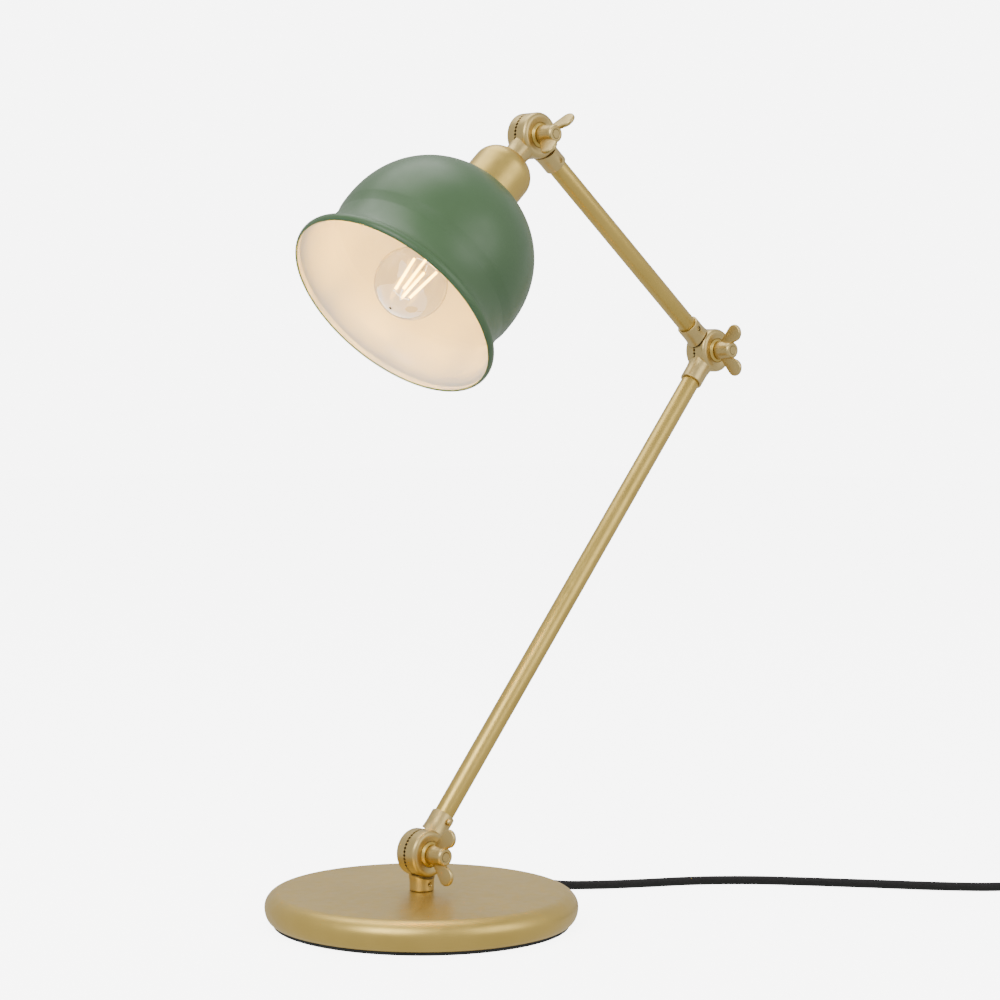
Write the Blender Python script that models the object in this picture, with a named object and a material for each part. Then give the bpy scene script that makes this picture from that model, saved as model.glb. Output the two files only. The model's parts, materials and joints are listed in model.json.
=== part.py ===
"""Swing arm desk lamp: weighted round base, two brass arms on three toothed knuckles, and a domed shade.

Metres, +Z up. The origin is the centre of the base's underside. The arms swing in the XZ plane, every
arm hinge turns about an axis along Y, and the wing nuts are on the -Y side.
"""
import math

import bmesh
import bpy
import numpy as np
from mathutils import Matrix, Vector

MM = 0.001
GAP = 0.3 * MM

# Base
BASE_RADIUS = 100 * MM
BASE_TOP = 21 * MM
BASE_FOOT = 2 * MM
BASE_SHOULDER = 10 * MM
BASE_EDGE = 6 * MM
SHELL_WALL = 1.5 * MM
PAD_THICKNESS = 2.2 * MM
WEIGHT_MARGIN = 18 * MM
NUT_POCKET_RADIUS = 13 * MM
NUT_POCKET_TOP = 12 * MM
NUT_THICKNESS = 3.6 * MM
NIPPLE_RADIUS = 5 * MM
NIPPLE_BORE = 3.5 * MM
NIPPLE_FOOT = 6 * MM

# Arms, pivot to pivot, and the angles between them
LOWER_PIVOT_HEIGHT = 45.1 * MM
LOWER_ARM = 419 * MM
UPPER_ARM = 222.5 * MM
LOWER_LEAN = math.radians(39.7)
ELBOW_BEND = math.radians(-91.4)
HEAD_BEND = math.radians(-81.7)
TUBE_RADIUS = 6.35 * MM
TUBE_WALL = 1 * MM
CORE_RADIUS = 2.4 * MM

# Knuckles
KNUCKLE_RADIUS = 15 * MM
HALF_THICKNESS = 9.2 * MM
SEAM_GAP = 0.3 * MM
RIM_ROUND = 3 * MM
RECESS_RADIUS = 8.4 * MM
RECESS_DEPTH = 1 * MM
WIRE_GROOVE = (5.5 * MM, 9.5 * MM)
WIRE_GROOVE_DEPTH = 5 * MM
WIRE_HOLE_RADIUS = 2.2 * MM
WIRE_HOLE_OFFSET = 2.9 * MM
SCOOP_CLEARANCE = 1.3 * MM
COLLAR_RADIUS = 7.8 * MM
COLLAR_CHAMFER = 0.6 * MM
COLLAR_FLOOR = 17.5 * MM
ARM_COLLAR = 28.5 * MM
HEAD_COLLAR = 24.5 * MM
GRUB_RADIUS = 1.6 * MM
GRUB_FROM_END = 4.3 * MM
GRUB_LENGTH = 2.2 * MM
STUD_RADIUS = 2.3 * MM
STUD_START = 8.3 * MM
STUD_END = 10.75 * MM
BOLT_RADIUS = 3 * MM
BOLT_HEAD_RADIUS = 7.2 * MM
BOLT_HEAD = 3.4 * MM
WASHER_RADIUS = 7.8 * MM
WASHER_THICKNESS = 1.6 * MM

# Wing nuts
HUB_RADIUS = 6 * MM
HUB_START = 10.6 * MM
HUB_END = 23 * MM
BOLT_END = 22.4 * MM
WING_CENTRE = (24.3 * MM, 12 * MM)
WING_RADIUS = 5.9 * MM
WING_THICKNESS = 2.8 * MM
LOWER_NUT_TURN = math.radians(5)
ELBOW_NUT_TURN = math.radians(-2)
HEAD_NUT_TURN = math.radians(41)

# Shade and cup, measured along the shade's axis from the head pivot
RIM_DISTANCE = 167 * MM
DOME_RADIUS = 65.4 * MM
DOME_CENTRE = 44 * MM
DOME_POWER = 2.12
NECK_RADIUS = 63.7 * MM
NECK_HEIGHT = 32 * MM
LIP_RADIUS = 72.6 * MM
LIP_HEIGHT = 6 * MM
SHADE_WALL = 1.2 * MM
SHADE_HOLE = 17.9 * MM
CUP_RADIUS = 20.25 * MM
CUP_SHOULDER = 13 * MM
CUP_WALL = 1.2 * MM

# Lampholder and bulb, measured as above
HOLDER_RADIUS = 17.5 * MM
HOLDER_BORE = 15 * MM
HOLDER_TOP = 30 * MM
HOLDER_JOINT = 56 * MM
HOLDER_MOUTH = 111 * MM
CLAMP_RING_RADIUS = 21.5 * MM
CLAMP_RING_THICKNESS = 5 * MM
CAP_RADIUS = 13.1 * MM
CAP_TOP = 89 * MM
CAP_MOUTH = 114.3 * MM
GLOBE_RADIUS = 22.5 * MM
GLOBE_CENTRE = 144 * MM
GLOBE_NECK = 12.3 * MM
GLASS_WALL = 0.8 * MM
FILAMENT_COUNT = 4
FILAMENT_RADIUS = 0.9 * MM
FILAMENT_SPREAD = (8.6 * MM, 5.2 * MM)
FILAMENT_ENDS = (126 * MM, 155 * MM)

# Cord: the route on the table, and where its coil, switch and plug lie
CORD_RADIUS = 3 * MM
EXIT_ANGLE = math.radians(7)
EXIT_HEIGHT = 8.5 * MM
RELIEF_LENGTH = 17 * MM
RELIEF_RADIUS = 4.6 * MM
RELIEF_END = BASE_RADIUS + RELIEF_LENGTH
CLAMP_MARGIN = 10 * MM
CLAMP_HALF = 3 * MM
CLAMP_WALL = 1.6 * MM
CORD_SPACING = 9 * MM
LEAD_ROUTE = [
    (116.42, 14.30, 8.40), (124.0, 14.9, 7.3), (133.0, 13.6, 5.0), (144.7, 8.7, 3.6), (167.0, -4.9, 3.1),
    (191.1, -18.8, 3.1), (212.5, -30.0, 3.1), (233.5, -44.2, 3.1), (255.0, -63.5, 3.1),
    (274.7, -86.6, 3.1), (291.0, -107.0, 3.1), (306.5, -126.6, 3.1), (322.0, -147.0, 3.1),
    (337.5, -165.5, 3.1), (354.5, -182.5, 3.1), (371.0, -193.5, 3.3), (388.0, -196.5, 4.0),
    (404.0, -190.0, 5.5), (414.3, -180.4, 8.0), (419.8, -174.6, 8.3),
]
SWITCH_CENTRE = (440.46, -152.85)
SWITCH_HEADING = math.radians(46.5)
SWITCH_LENGTH = 58 * MM
SWITCH_WIDTH = 20 * MM
SWITCH_SEAM = 8.3 * MM
SWITCH_TOP = 17 * MM
ROCKER_LENGTH = 14 * MM
ROCKER_WIDTH = 8.4 * MM
ROCKER_AXIS = 12 * MM
ROCKER_TILT = math.radians(7)
COIL_CENTRE = (520.3, -136.6)
COIL_RADIUS = 35.5 * MM
COIL_LIFT = 0.9 * MM
COIL_COLUMNS = 3
COIL_LAYERS = 2
LINK_ROUTE = [(460.7, -131.6, 8.3), (466.9, -125.1, 7.4), (473.1, -118.5, 5.2), (479.3, -112.0, 3.9)]
TAIL_ROUTE = [(530.9, -184.2, 8.6), (528.1, -187.0, 8.1), (524.5, -190.5, 7.4), (521.2, -193.6, 7.1)]
PLUG_CENTRE = (502.9, -211.3)
PLUG_HEADING = math.radians(224)
PLUG_LENGTH = 50 * MM
PLUG_HEIGHT = 13.7 * MM
PLUG_WIDTH = 26 * MM
PIN_RADIUS = 2 * MM
PIN_LENGTH = 19 * MM
PIN_SPACING = 18 * MM


def material(name, colour, metallic, roughness, transmission=0.0):
    """One Principled BSDF finish."""
    finish = bpy.data.materials.new(name)
    finish.use_nodes = True
    shader = finish.node_tree.nodes["Principled BSDF"]
    shader.inputs["Base Color"].default_value = (*colour, 1)
    shader.inputs["Metallic"].default_value = metallic
    shader.inputs["Roughness"].default_value = roughness
    shader.inputs["Transmission Weight"].default_value = transmission
    return finish


def empty(name, location, turn=0.0, parent=None, axis="Y"):
    """A pivot: an empty whose axis is the joint's."""
    pivot = bpy.data.objects.new(name, None)
    bpy.context.collection.objects.link(pivot)
    pivot.parent = parent
    pivot.matrix_local = Matrix.Translation(location) @ Matrix.Rotation(turn, 4, axis)
    return pivot


def add(name, bm, finish, parent=None, place=None):
    """Make the mesh an object, smooth where its faces meet gently."""
    bmesh.ops.remove_doubles(bm, verts=bm.verts, dist=1e-6)
    bmesh.ops.recalc_face_normals(bm, faces=bm.faces)
    if bm.calc_volume(signed=True) < 0:
        bmesh.ops.reverse_faces(bm, faces=bm.faces)
    mesh = bpy.data.meshes.new(name)
    bm.to_mesh(mesh)
    bm.free()
    mesh.materials.append(finish)
    mesh.shade_smooth()
    mesh.set_sharp_from_angle(angle=math.radians(35))
    piece = bpy.data.objects.new(name, mesh)
    bpy.context.collection.objects.link(piece)
    piece.parent = parent
    piece.matrix_local = place if place else Matrix()
    return piece


def turned(name, profile, finish, parent=None, place=None, steps=24):
    """Spin a closed profile of (radius, height) about Z; an edge on the axis is left out."""
    bm = bmesh.new()
    verts = [bm.verts.new((radius, 0, height)) for radius, height in profile]
    pairs = zip(verts, verts[1:] + verts[:1])
    edges = [bm.edges.new(pair) for pair in pairs if max(pair[0].co.x, pair[1].co.x) > 0]
    bmesh.ops.spin(
        bm, geom=verts + edges, cent=(0, 0, 0), axis=(0, 0, 1), angle=math.tau, steps=steps, use_merge=True
    )
    return add(name, bm, finish, parent, place)


def rod(name, radius, start, end, finish, parent=None, place=None, bore=0.0, steps=20):
    """A round bar or tube along Z."""
    profile = [(bore, start), (radius, start), (radius, end), (bore, end)]
    return turned(name, profile, finish, parent, place, steps)


def extruded(name, outline, low, high, finish, parent=None, place=None):
    """A flat outline in XY, extruded from low to high along Z."""
    bm = bmesh.new()
    face = bm.faces.new([bm.verts.new((x, y, low)) for x, y in outline])
    side = bmesh.ops.extrude_face_region(bm, geom=[face])["geom"]
    moved = [item for item in side if isinstance(item, bmesh.types.BMVert)]
    bmesh.ops.translate(bm, verts=moved, vec=(0, 0, high - low))
    return add(name, bm, finish, parent, place)


def arc(centre, radii, start, end, count):
    """Points on an ellipse's arc from start to end, in degrees."""
    angles = np.radians(np.linspace(start, end, count))
    return [(centre[0] + radii[0] * math.cos(a), centre[1] + radii[1] * math.sin(a)) for a in angles]


def boolean(piece, other, operation="DIFFERENCE"):
    """Cut a piece with another, or join the other to it, and keep the other as a hidden guide."""
    modifier = piece.modifiers.new(other.name, "BOOLEAN")
    modifier.operation = operation
    modifier.solver = "EXACT"
    modifier.object = other
    other.hide_render = True
    other.display_type = "WIRE"


def offset_outline(points, distance):
    """The outline moved sideways by a distance, to the left of its own direction."""
    line = np.array(points)
    along = np.gradient(line, axis=0)
    along /= np.linalg.norm(along, axis=1)[:, None]
    left = np.stack([-along[:, 1], along[:, 0]], axis=1)
    return [tuple(point) for point in line + left * distance]


def facing(side):
    """Turns +Z to +Y (side 1) or to -Y (side -1)."""
    return Matrix.Rotation(-side * math.pi / 2, 4, "X")


def at(height):
    """A place along the parent's Z."""
    return Matrix.Translation((0, 0, height))


def smooth_route(points, spacing):
    """Evenly spaced points on the Catmull-Rom curve through a route given in millimetres."""
    route = np.array(points) * MM
    padded = np.vstack([2 * route[0] - route[1], route, 2 * route[-1] - route[-2]])
    u = np.linspace(0, 1, 16, endpoint=False)[:, None]
    runs = []
    for a, b, c, d in zip(padded, padded[1:], padded[2:], padded[3:]):
        runs.append(
            0.5 * (2 * b + (c - a) * u + (2 * a - 5 * b + 4 * c - d) * u**2 + (3 * b - a - 3 * c + d) * u**3)
        )
    dense = np.vstack(runs + [route[-1:]])
    walked = np.concatenate([[0], np.cumsum(np.linalg.norm(np.diff(dense, axis=0), axis=1))])
    stops = np.linspace(0, walked[-1], max(3, round(walked[-1] / spacing) + 1))
    return [tuple(np.interp(stop, walked, dense[:, axis]) for axis in range(3)) for stop in stops]


def cord_tube(name, points, radius, finish):
    """A round cord along points, as a bevelled curve with filled caps."""
    curve = bpy.data.curves.new(name, "CURVE")
    curve.dimensions = "3D"
    curve.bevel_depth = radius
    curve.bevel_resolution = 2
    curve.use_fill_caps = True
    spline = curve.splines.new("POLY")
    spline.points.add(len(points) - 1)
    for point, place in zip(spline.points, points):
        point.co = (*place, 1)
    curve.materials.append(finish)
    piece = bpy.data.objects.new(name, curve)
    bpy.context.collection.objects.link(piece)
    return piece


def knuckle_half(name, parent, height, side, way, length, bore, finish, screw_side=-1, stud=False):
    """Half a knuckle: a disc on one side of the seam, and a collar centred on the seam.

    side is 1 for +Y and -1 for -Y, and way is the collar's direction along the parent's Z. The collar is
    scooped clear of the other half's disc. A groove round the bolt carries the wires across the seam.
    The collar's screw is on the side screw_side, sunk in its hole, or with a head that stands out of the
    hole where stud is true.
    """
    place = at(height)
    inner, outer = WIRE_GROOVE
    hole = BOLT_RADIUS + GAP
    rim = KNUCKLE_RADIUS - RIM_ROUND
    floor = HALF_THICKNESS - RECESS_DEPTH
    profile = [
        (hole, SEAM_GAP), (inner, SEAM_GAP), (inner, WIRE_GROOVE_DEPTH), (outer, WIRE_GROOVE_DEPTH),
        (outer, SEAM_GAP), (KNUCKLE_RADIUS, SEAM_GAP),
    ]
    profile += arc((rim, HALF_THICKNESS - RIM_ROUND), (RIM_ROUND, RIM_ROUND), 0, 90, 3)
    profile += [(RECESS_RADIUS, HALF_THICKNESS), (RECESS_RADIUS, floor), (hole, floor)]
    half = turned(name, profile, finish, parent, place @ facing(side), 24)

    along = place @ (Matrix() if way > 0 else Matrix.Rotation(math.pi, 4, "Y"))
    start = outer + 1.1 * MM
    collar_profile = [
        (0, start), (COLLAR_RADIUS, start), (COLLAR_RADIUS, length - COLLAR_CHAMFER),
        (COLLAR_RADIUS - COLLAR_CHAMFER, length), (0, length),
    ]
    collar = turned(name + "_collar", collar_profile, finish, parent, along, 16)
    scoop_radius = KNUCKLE_RADIUS + SCOOP_CLEARANCE
    scoop = rod(
        name + "_scoop", scoop_radius, -HALF_THICKNESS - 2 * MM, 2 * SEAM_GAP, finish, parent,
        place @ facing(side), steps=24,
    )
    boolean(collar, scoop)
    boolean(half, collar, "UNION")
    socket = rod(name + "_socket", bore, COLLAR_FLOOR, length + MM, finish, parent, along, steps=12)
    boolean(half, socket)
    beside = Matrix.Translation((0, side * WIRE_HOLE_OFFSET, 0))
    wire_way = rod(
        name + "_wire_way", WIRE_HOLE_RADIUS, (inner + outer) / 2, COLLAR_FLOOR + MM, finish, parent,
        beside @ along, steps=8,
    )
    boolean(half, wire_way)
    grub_place = place @ at(way * (length - GRUB_FROM_END)) @ facing(screw_side)
    grub_reach = COLLAR_RADIUS + MM
    grub_hole = rod(
        name + "_grub_hole", GRUB_RADIUS + GAP, 0, grub_reach, finish, parent, grub_place, steps=8
    )
    boolean(half, grub_hole)
    socket_depth = GRUB_LENGTH * 0.6
    grub_end = STUD_END if stud else bore + GRUB_LENGTH
    grub_profile = [(0, bore), (GRUB_RADIUS, bore)]
    if stud:
        grub_profile += [(GRUB_RADIUS, STUD_START), (STUD_RADIUS, STUD_START), (STUD_RADIUS, grub_end)]
    else:
        grub_profile += [(GRUB_RADIUS, grub_end)]
    grub_profile += [
        (GRUB_RADIUS / 2, grub_end), (GRUB_RADIUS / 2, grub_end - socket_depth), (0, grub_end - socket_depth),
    ]
    turned(name + "_grub_screw", grub_profile, STEEL, parent, grub_place, 8)
    return half


def knuckle_hardware(name, parent, height, washer_parent, washer_height, turn):
    """The bolt with its domed head on the +Y side, the washer, and the wing nut on the -Y side."""
    place = at(height) @ facing(-1)
    seat = -HALF_THICKNESS + RECESS_DEPTH - GAP
    bolt_profile = [(0, BOLT_END), (0, seat - BOLT_HEAD)]
    bolt_profile += arc((0, seat - 0.8 * MM), (BOLT_HEAD_RADIUS, BOLT_HEAD - 0.8 * MM), 270, 360, 4)[1:]
    bolt_profile += [(BOLT_HEAD_RADIUS, seat), (BOLT_RADIUS, seat), (BOLT_RADIUS, BOLT_END)]
    turned(name + "_bolt", bolt_profile, BRASS, parent, place, 12)

    washer_start = HALF_THICKNESS - RECESS_DEPTH + GAP
    washer_profile = [
        (BOLT_RADIUS + GAP, washer_start), (WASHER_RADIUS, washer_start),
        (WASHER_RADIUS, washer_start + WASHER_THICKNESS),
        (BOLT_RADIUS + GAP, washer_start + WASHER_THICKNESS),
    ]
    turned(name + "_washer", washer_profile, BRASS, washer_parent, at(washer_height) @ facing(-1), 16)

    nut_place = at(height) @ Matrix.Rotation(turn - math.pi / 2, 4, "Y") @ facing(-1)
    bore = BOLT_RADIUS + GAP
    hub_profile = [
        (bore, HUB_START), (HUB_RADIUS - 0.4 * MM, HUB_START), (HUB_RADIUS, HUB_START + 1.2 * MM),
        (HUB_RADIUS, HUB_END - MM), (HUB_RADIUS - MM, HUB_END), (bore, HUB_END),
    ]
    nut = turned(name + "_wing_nut", hub_profile, BRASS, parent, nut_place, 14)
    for index, sign in enumerate((1, -1)):
        root = HUB_RADIUS - 1.3 * MM
        outline = [(sign * root, HUB_END - 2.4 * MM), (sign * root, HUB_START + 2 * MM)]
        radii = (sign * WING_RADIUS, WING_RADIUS)
        lobe = arc((sign * WING_CENTRE[1], WING_CENTRE[0]), radii, -50, 180 - 20, 10)
        outline += [point for point in lobe if abs(point[0]) > root]
        upright = nut_place @ Matrix.Rotation(math.pi / 2, 4, "X")
        wing = extruded(
            f"{name}_wing_{index}", outline, -WING_THICKNESS / 2, WING_THICKNESS / 2, BRASS, parent, upright
        )
        boolean(nut, wing, "UNION")
    return nut


def build_base():
    """Shell, weight, pad, nipple with its nut, and where the cord comes in."""
    middle = (BASE_TOP + BASE_FOOT) / 2
    half = (BASE_TOP - BASE_FOOT) / 2
    flat = BASE_RADIUS - BASE_EDGE
    hole = NIPPLE_RADIUS + GAP
    shoulder = BASE_RADIUS - BASE_SHOULDER
    profile = [(hole, BASE_TOP)] + arc((shoulder, middle), (BASE_SHOULDER, half), 90, 0, 6)
    profile += arc((flat, middle), (BASE_EDGE, half), 0, -75, 4)[1:]
    profile += arc((flat, middle), (BASE_EDGE - SHELL_WALL, half - SHELL_WALL), -75, 0, 3)
    profile += arc((shoulder, middle), (BASE_SHOULDER - SHELL_WALL, half - SHELL_WALL), 0, 90, 4)[1:]
    profile += [(hole, BASE_TOP - SHELL_WALL)]
    shell = turned("base_shell", profile, BRASS, steps=40)
    outward = Matrix.Rotation(EXIT_ANGLE, 4, "Z") @ at(EXIT_HEIGHT) @ Matrix.Rotation(math.pi / 2, 4, "Y")
    exit_hole = rod(
        "cord_exit_hole", RELIEF_RADIUS + GAP, flat - BASE_EDGE, BASE_RADIUS + MM, BRASS, None, outward
    )
    boolean(shell, exit_hole)

    edge_foot = flat + BASE_EDGE * math.cos(math.radians(75))
    rod("base_pad", edge_foot - 3 * GAP, 0, PAD_THICKNESS, FELT, steps=40)
    weight_low = PAD_THICKNESS + GAP
    weight_high = BASE_TOP - SHELL_WALL - GAP
    weight_radius = flat - WEIGHT_MARGIN
    weight = rod("base_weight", weight_radius, weight_low, weight_high, IRON, bore=hole, steps=32)
    pocket = rod("nut_pocket", NUT_POCKET_RADIUS, 0, NUT_POCKET_TOP, IRON)
    boolean(weight, pocket)
    channel_half = CORD_RADIUS + MM
    channel_end = weight_radius + MM
    outline = [(0, -channel_half), (channel_end, -channel_half)]
    outline += [(channel_end, channel_half), (0, channel_half)]
    aimed = Matrix.Rotation(EXIT_ANGLE, 4, "Z")
    channel = extruded("cord_channel", outline, 0, EXIT_HEIGHT + channel_half, IRON, None, aimed)
    boolean(weight, channel)

    nipple_top = LOWER_PIVOT_HEIGHT - COLLAR_FLOOR - GAP
    rod("base_nipple", NIPPLE_RADIUS, NIPPLE_FOOT, nipple_top, STEEL, bore=NIPPLE_BORE, steps=12)
    nut_top = NUT_POCKET_TOP - GAP
    hexagon_hole = hole / math.cos(math.pi / 6)
    nut = rod("nipple_nut", 8.1 * MM, nut_top - NUT_THICKNESS, nut_top, STEEL, bore=hexagon_hole, steps=6)
    nut.data.shade_flat()


def build_cord():
    """Strain relief, clamp, cord, inline switch, coil and plug."""
    outward = Matrix.Rotation(EXIT_ANGLE, 4, "Z") @ at(EXIT_HEIGHT) @ Matrix.Rotation(math.pi / 2, 4, "Y")
    bore = CORD_RADIUS + GAP
    flat = BASE_RADIUS - BASE_EDGE
    relief_profile = [
        (bore, flat - 2 * MM), (RELIEF_RADIUS + MM, flat - 2 * MM), (RELIEF_RADIUS + MM, flat + 0.8 * MM),
        (RELIEF_RADIUS, flat + 0.8 * MM), (RELIEF_RADIUS, BASE_RADIUS + GAP),
        (RELIEF_RADIUS + 1.2 * MM, BASE_RADIUS + GAP), (RELIEF_RADIUS + 1.2 * MM, BASE_RADIUS + 2.3 * MM),
        (RELIEF_RADIUS + 0.2 * MM, BASE_RADIUS + 3 * MM), (bore + 0.7 * MM, RELIEF_END), (bore, RELIEF_END),
    ]
    turned("strain_relief", relief_profile, RUBBER, None, outward, 16)
    clamp = flat - CLAMP_MARGIN
    clamp_radius = bore + CLAMP_WALL
    rod("cord_clamp", clamp_radius, clamp - CLAMP_HALF, clamp + CLAMP_HALF, STEEL, None, outward, bore, 12)
    rod("base_flex", CORD_RADIUS, NUT_POCKET_RADIUS, RELIEF_END - GAP, CORD, None, outward, 0.0, 10)

    cord_tube("cord_lead", smooth_route(LEAD_ROUTE, CORD_SPACING), CORD_RADIUS, CORD)
    cord_tube("cord_link", smooth_route(LINK_ROUTE, CORD_SPACING / 2), CORD_RADIUS, CORD)
    cord_tube("cord_tail", smooth_route(TAIL_ROUTE, CORD_SPACING / 2), CORD_RADIUS, CORD)
    half_bundle = COIL_COLUMNS * CORD_RADIUS
    low, high = COIL_LIFT, COIL_LIFT + COIL_LAYERS * 2 * CORD_RADIUS
    rounding = CORD_RADIUS * 0.8
    inside, outside = COIL_RADIUS - half_bundle, COIL_RADIUS + half_bundle
    profile = arc((inside + rounding, low + rounding), (rounding, rounding), 180, 270, 2)
    profile += arc((outside - rounding, low + rounding), (rounding, rounding), 270, 360, 2)
    profile += arc((outside - rounding, high - rounding), (rounding, rounding), 0, 90, 2)
    profile += arc((inside + rounding, high - rounding), (rounding, rounding), 90, 180, 2)
    centre = Matrix.Translation((COIL_CENTRE[0] * MM, COIL_CENTRE[1] * MM, 0))
    turned("cord_coil", profile, CORD, None, centre, 20)
    build_switch()
    build_plug()


def build_switch():
    """An inline switch: two housing halves, closed on the cord, and a rocker that tilts between them."""
    centre = (SWITCH_CENTRE[0] * MM, SWITCH_CENTRE[1] * MM, 0)
    place = Matrix.Translation(centre) @ Matrix.Rotation(SWITCH_HEADING, 4, "Z")
    end_round = 5 * MM
    reach = SWITCH_LENGTH / 2 - end_round
    side = SWITCH_WIDTH / 2 - end_round
    outline = arc((reach, side), (end_round, end_round), 0, 90, 3)
    outline += arc((-reach, side), (end_round, end_round), 90, 180, 3)
    outline += arc((-reach, -side), (end_round, end_round), 180, 270, 3)
    outline += arc((reach, -side), (end_round, end_round), 270, 360, 3)
    lower = extruded("switch_base", outline, 0.2 * MM, SWITCH_SEAM - GAP / 2, PLASTIC, None, place)
    upper = extruded("switch_cover", outline, SWITCH_SEAM + GAP / 2, SWITCH_TOP, PLASTIC, None, place)
    window_half = ROCKER_LENGTH / 2 + 1.2 * MM
    window_side = ROCKER_WIDTH / 2 + GAP
    window_outline = [(-window_half, -window_side), (window_half, -window_side)]
    window_outline += [(window_half, window_side), (-window_half, window_side)]
    window = extruded("switch_window", window_outline, 0, SWITCH_TOP + MM, PLASTIC, None, place)
    boolean(upper, window)
    for index, sign in enumerate((1, -1)):
        way_in = rod(
            f"switch_cord_way_{index}", CORD_RADIUS + GAP, SWITCH_LENGTH / 2 - 9 * MM, SWITCH_LENGTH / 2 + MM,
            PLASTIC, None, place @ at(SWITCH_SEAM) @ Matrix.Rotation(sign * math.pi / 2, 4, "Y"), steps=16,
        )
        boolean(lower, way_in)
        boolean(upper, way_in)
    pivot = empty("rocker_pivot", Vector(centre) + Vector((0, 0, ROCKER_AXIS)), SWITCH_HEADING, None, "Z")
    half = ROCKER_LENGTH / 2
    outline = [(-half, -1.5 * MM), (half, -1.5 * MM), (half, 4.8 * MM), (0, 3.6 * MM), (-half, 4.8 * MM)]
    rocker_place = Matrix.Rotation(ROCKER_TILT, 4, "Y") @ Matrix.Rotation(math.pi / 2, 4, "X")
    extruded("switch_rocker", outline, -ROCKER_WIDTH / 2, ROCKER_WIDTH / 2, RUBBER, pivot, rocker_place)


def build_plug():
    """A flat two-pin plug lying on the table at the cord's end."""
    place = Matrix.Translation((PLUG_CENTRE[0] * MM, PLUG_CENTRE[1] * MM, 0))
    place = place @ Matrix.Rotation(PLUG_HEADING, 4, "Z")
    back, front = -PLUG_LENGTH / 2, PLUG_LENGTH / 2
    half = PLUG_WIDTH / 2
    neck = CORD_RADIUS + 1.5 * MM
    side = [(back, neck), (back + 14 * MM, neck + 0.6 * MM), (back + 22 * MM, half - 2 * MM)]
    side += [(back + 28 * MM, half), (front - MM, half), (front, half - MM)]
    outline = [(x, -y) for x, y in side] + side[::-1]
    extruded("plug_body", outline, 0.2 * MM, 0.2 * MM + PLUG_HEIGHT, RUBBER, None, place)
    middle = 0.2 * MM + PLUG_HEIGHT / 2
    for name, sign in (("plug_pin_left", 1), ("plug_pin_right", -1)):
        pin_place = place @ Matrix.Translation((front + GAP, sign * PIN_SPACING / 2, middle))
        pin_place = pin_place @ Matrix.Rotation(math.pi / 2, 4, "Y")
        profile = [(0, 0), (PIN_RADIUS, 0), (PIN_RADIUS, PIN_LENGTH - MM), (PIN_RADIUS - MM, PIN_LENGTH)]
        turned(name, profile + [(0, PIN_LENGTH)], STEEL, None, pin_place, 12)


def build_arm(name, parent, length):
    """A brass tube between two collars, with the wires inside it."""
    start = COLLAR_FLOOR + GAP
    bore = TUBE_RADIUS - TUBE_WALL
    rod(name + "_tube", TUBE_RADIUS, start, length - start, BRASS, parent, bore=bore, steps=24)
    rod(name + "_flex", CORE_RADIUS, start + GAP, length - start - GAP, CORD, parent, steps=10)


def dome_rise(across, radius):
    """How far a slightly squared dome of this radius stands from its centre at a distance across it."""
    return (radius**DOME_POWER - across**DOME_POWER) ** (1 / DOME_POWER)


def shade_outline():
    """The shade's outer outline from its hole to its lip, as (radius, height above the rim)."""
    top = math.asin(dome_rise(SHADE_HOLE, DOME_RADIUS) / DOME_RADIUS)
    low = math.asin((NECK_HEIGHT + 4 * MM - DOME_CENTRE) / DOME_RADIUS)
    rises = [DOME_RADIUS * math.sin(angle) for angle in np.linspace(top, low, 9)]
    outline = [(dome_rise(abs(rise), DOME_RADIUS), DOME_CENTRE + rise) for rise in rises]
    flare = LIP_RADIUS - NECK_RADIUS
    outline += arc((LIP_RADIUS, NECK_HEIGHT), (flare, NECK_HEIGHT - LIP_HEIGHT), 180, 262, 5)[1:]
    outline += arc((LIP_RADIUS - 1.4 * MM, 3.2 * MM), (2.2 * MM, 3.2 * MM), 50, -80, 4)
    return outline


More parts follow.
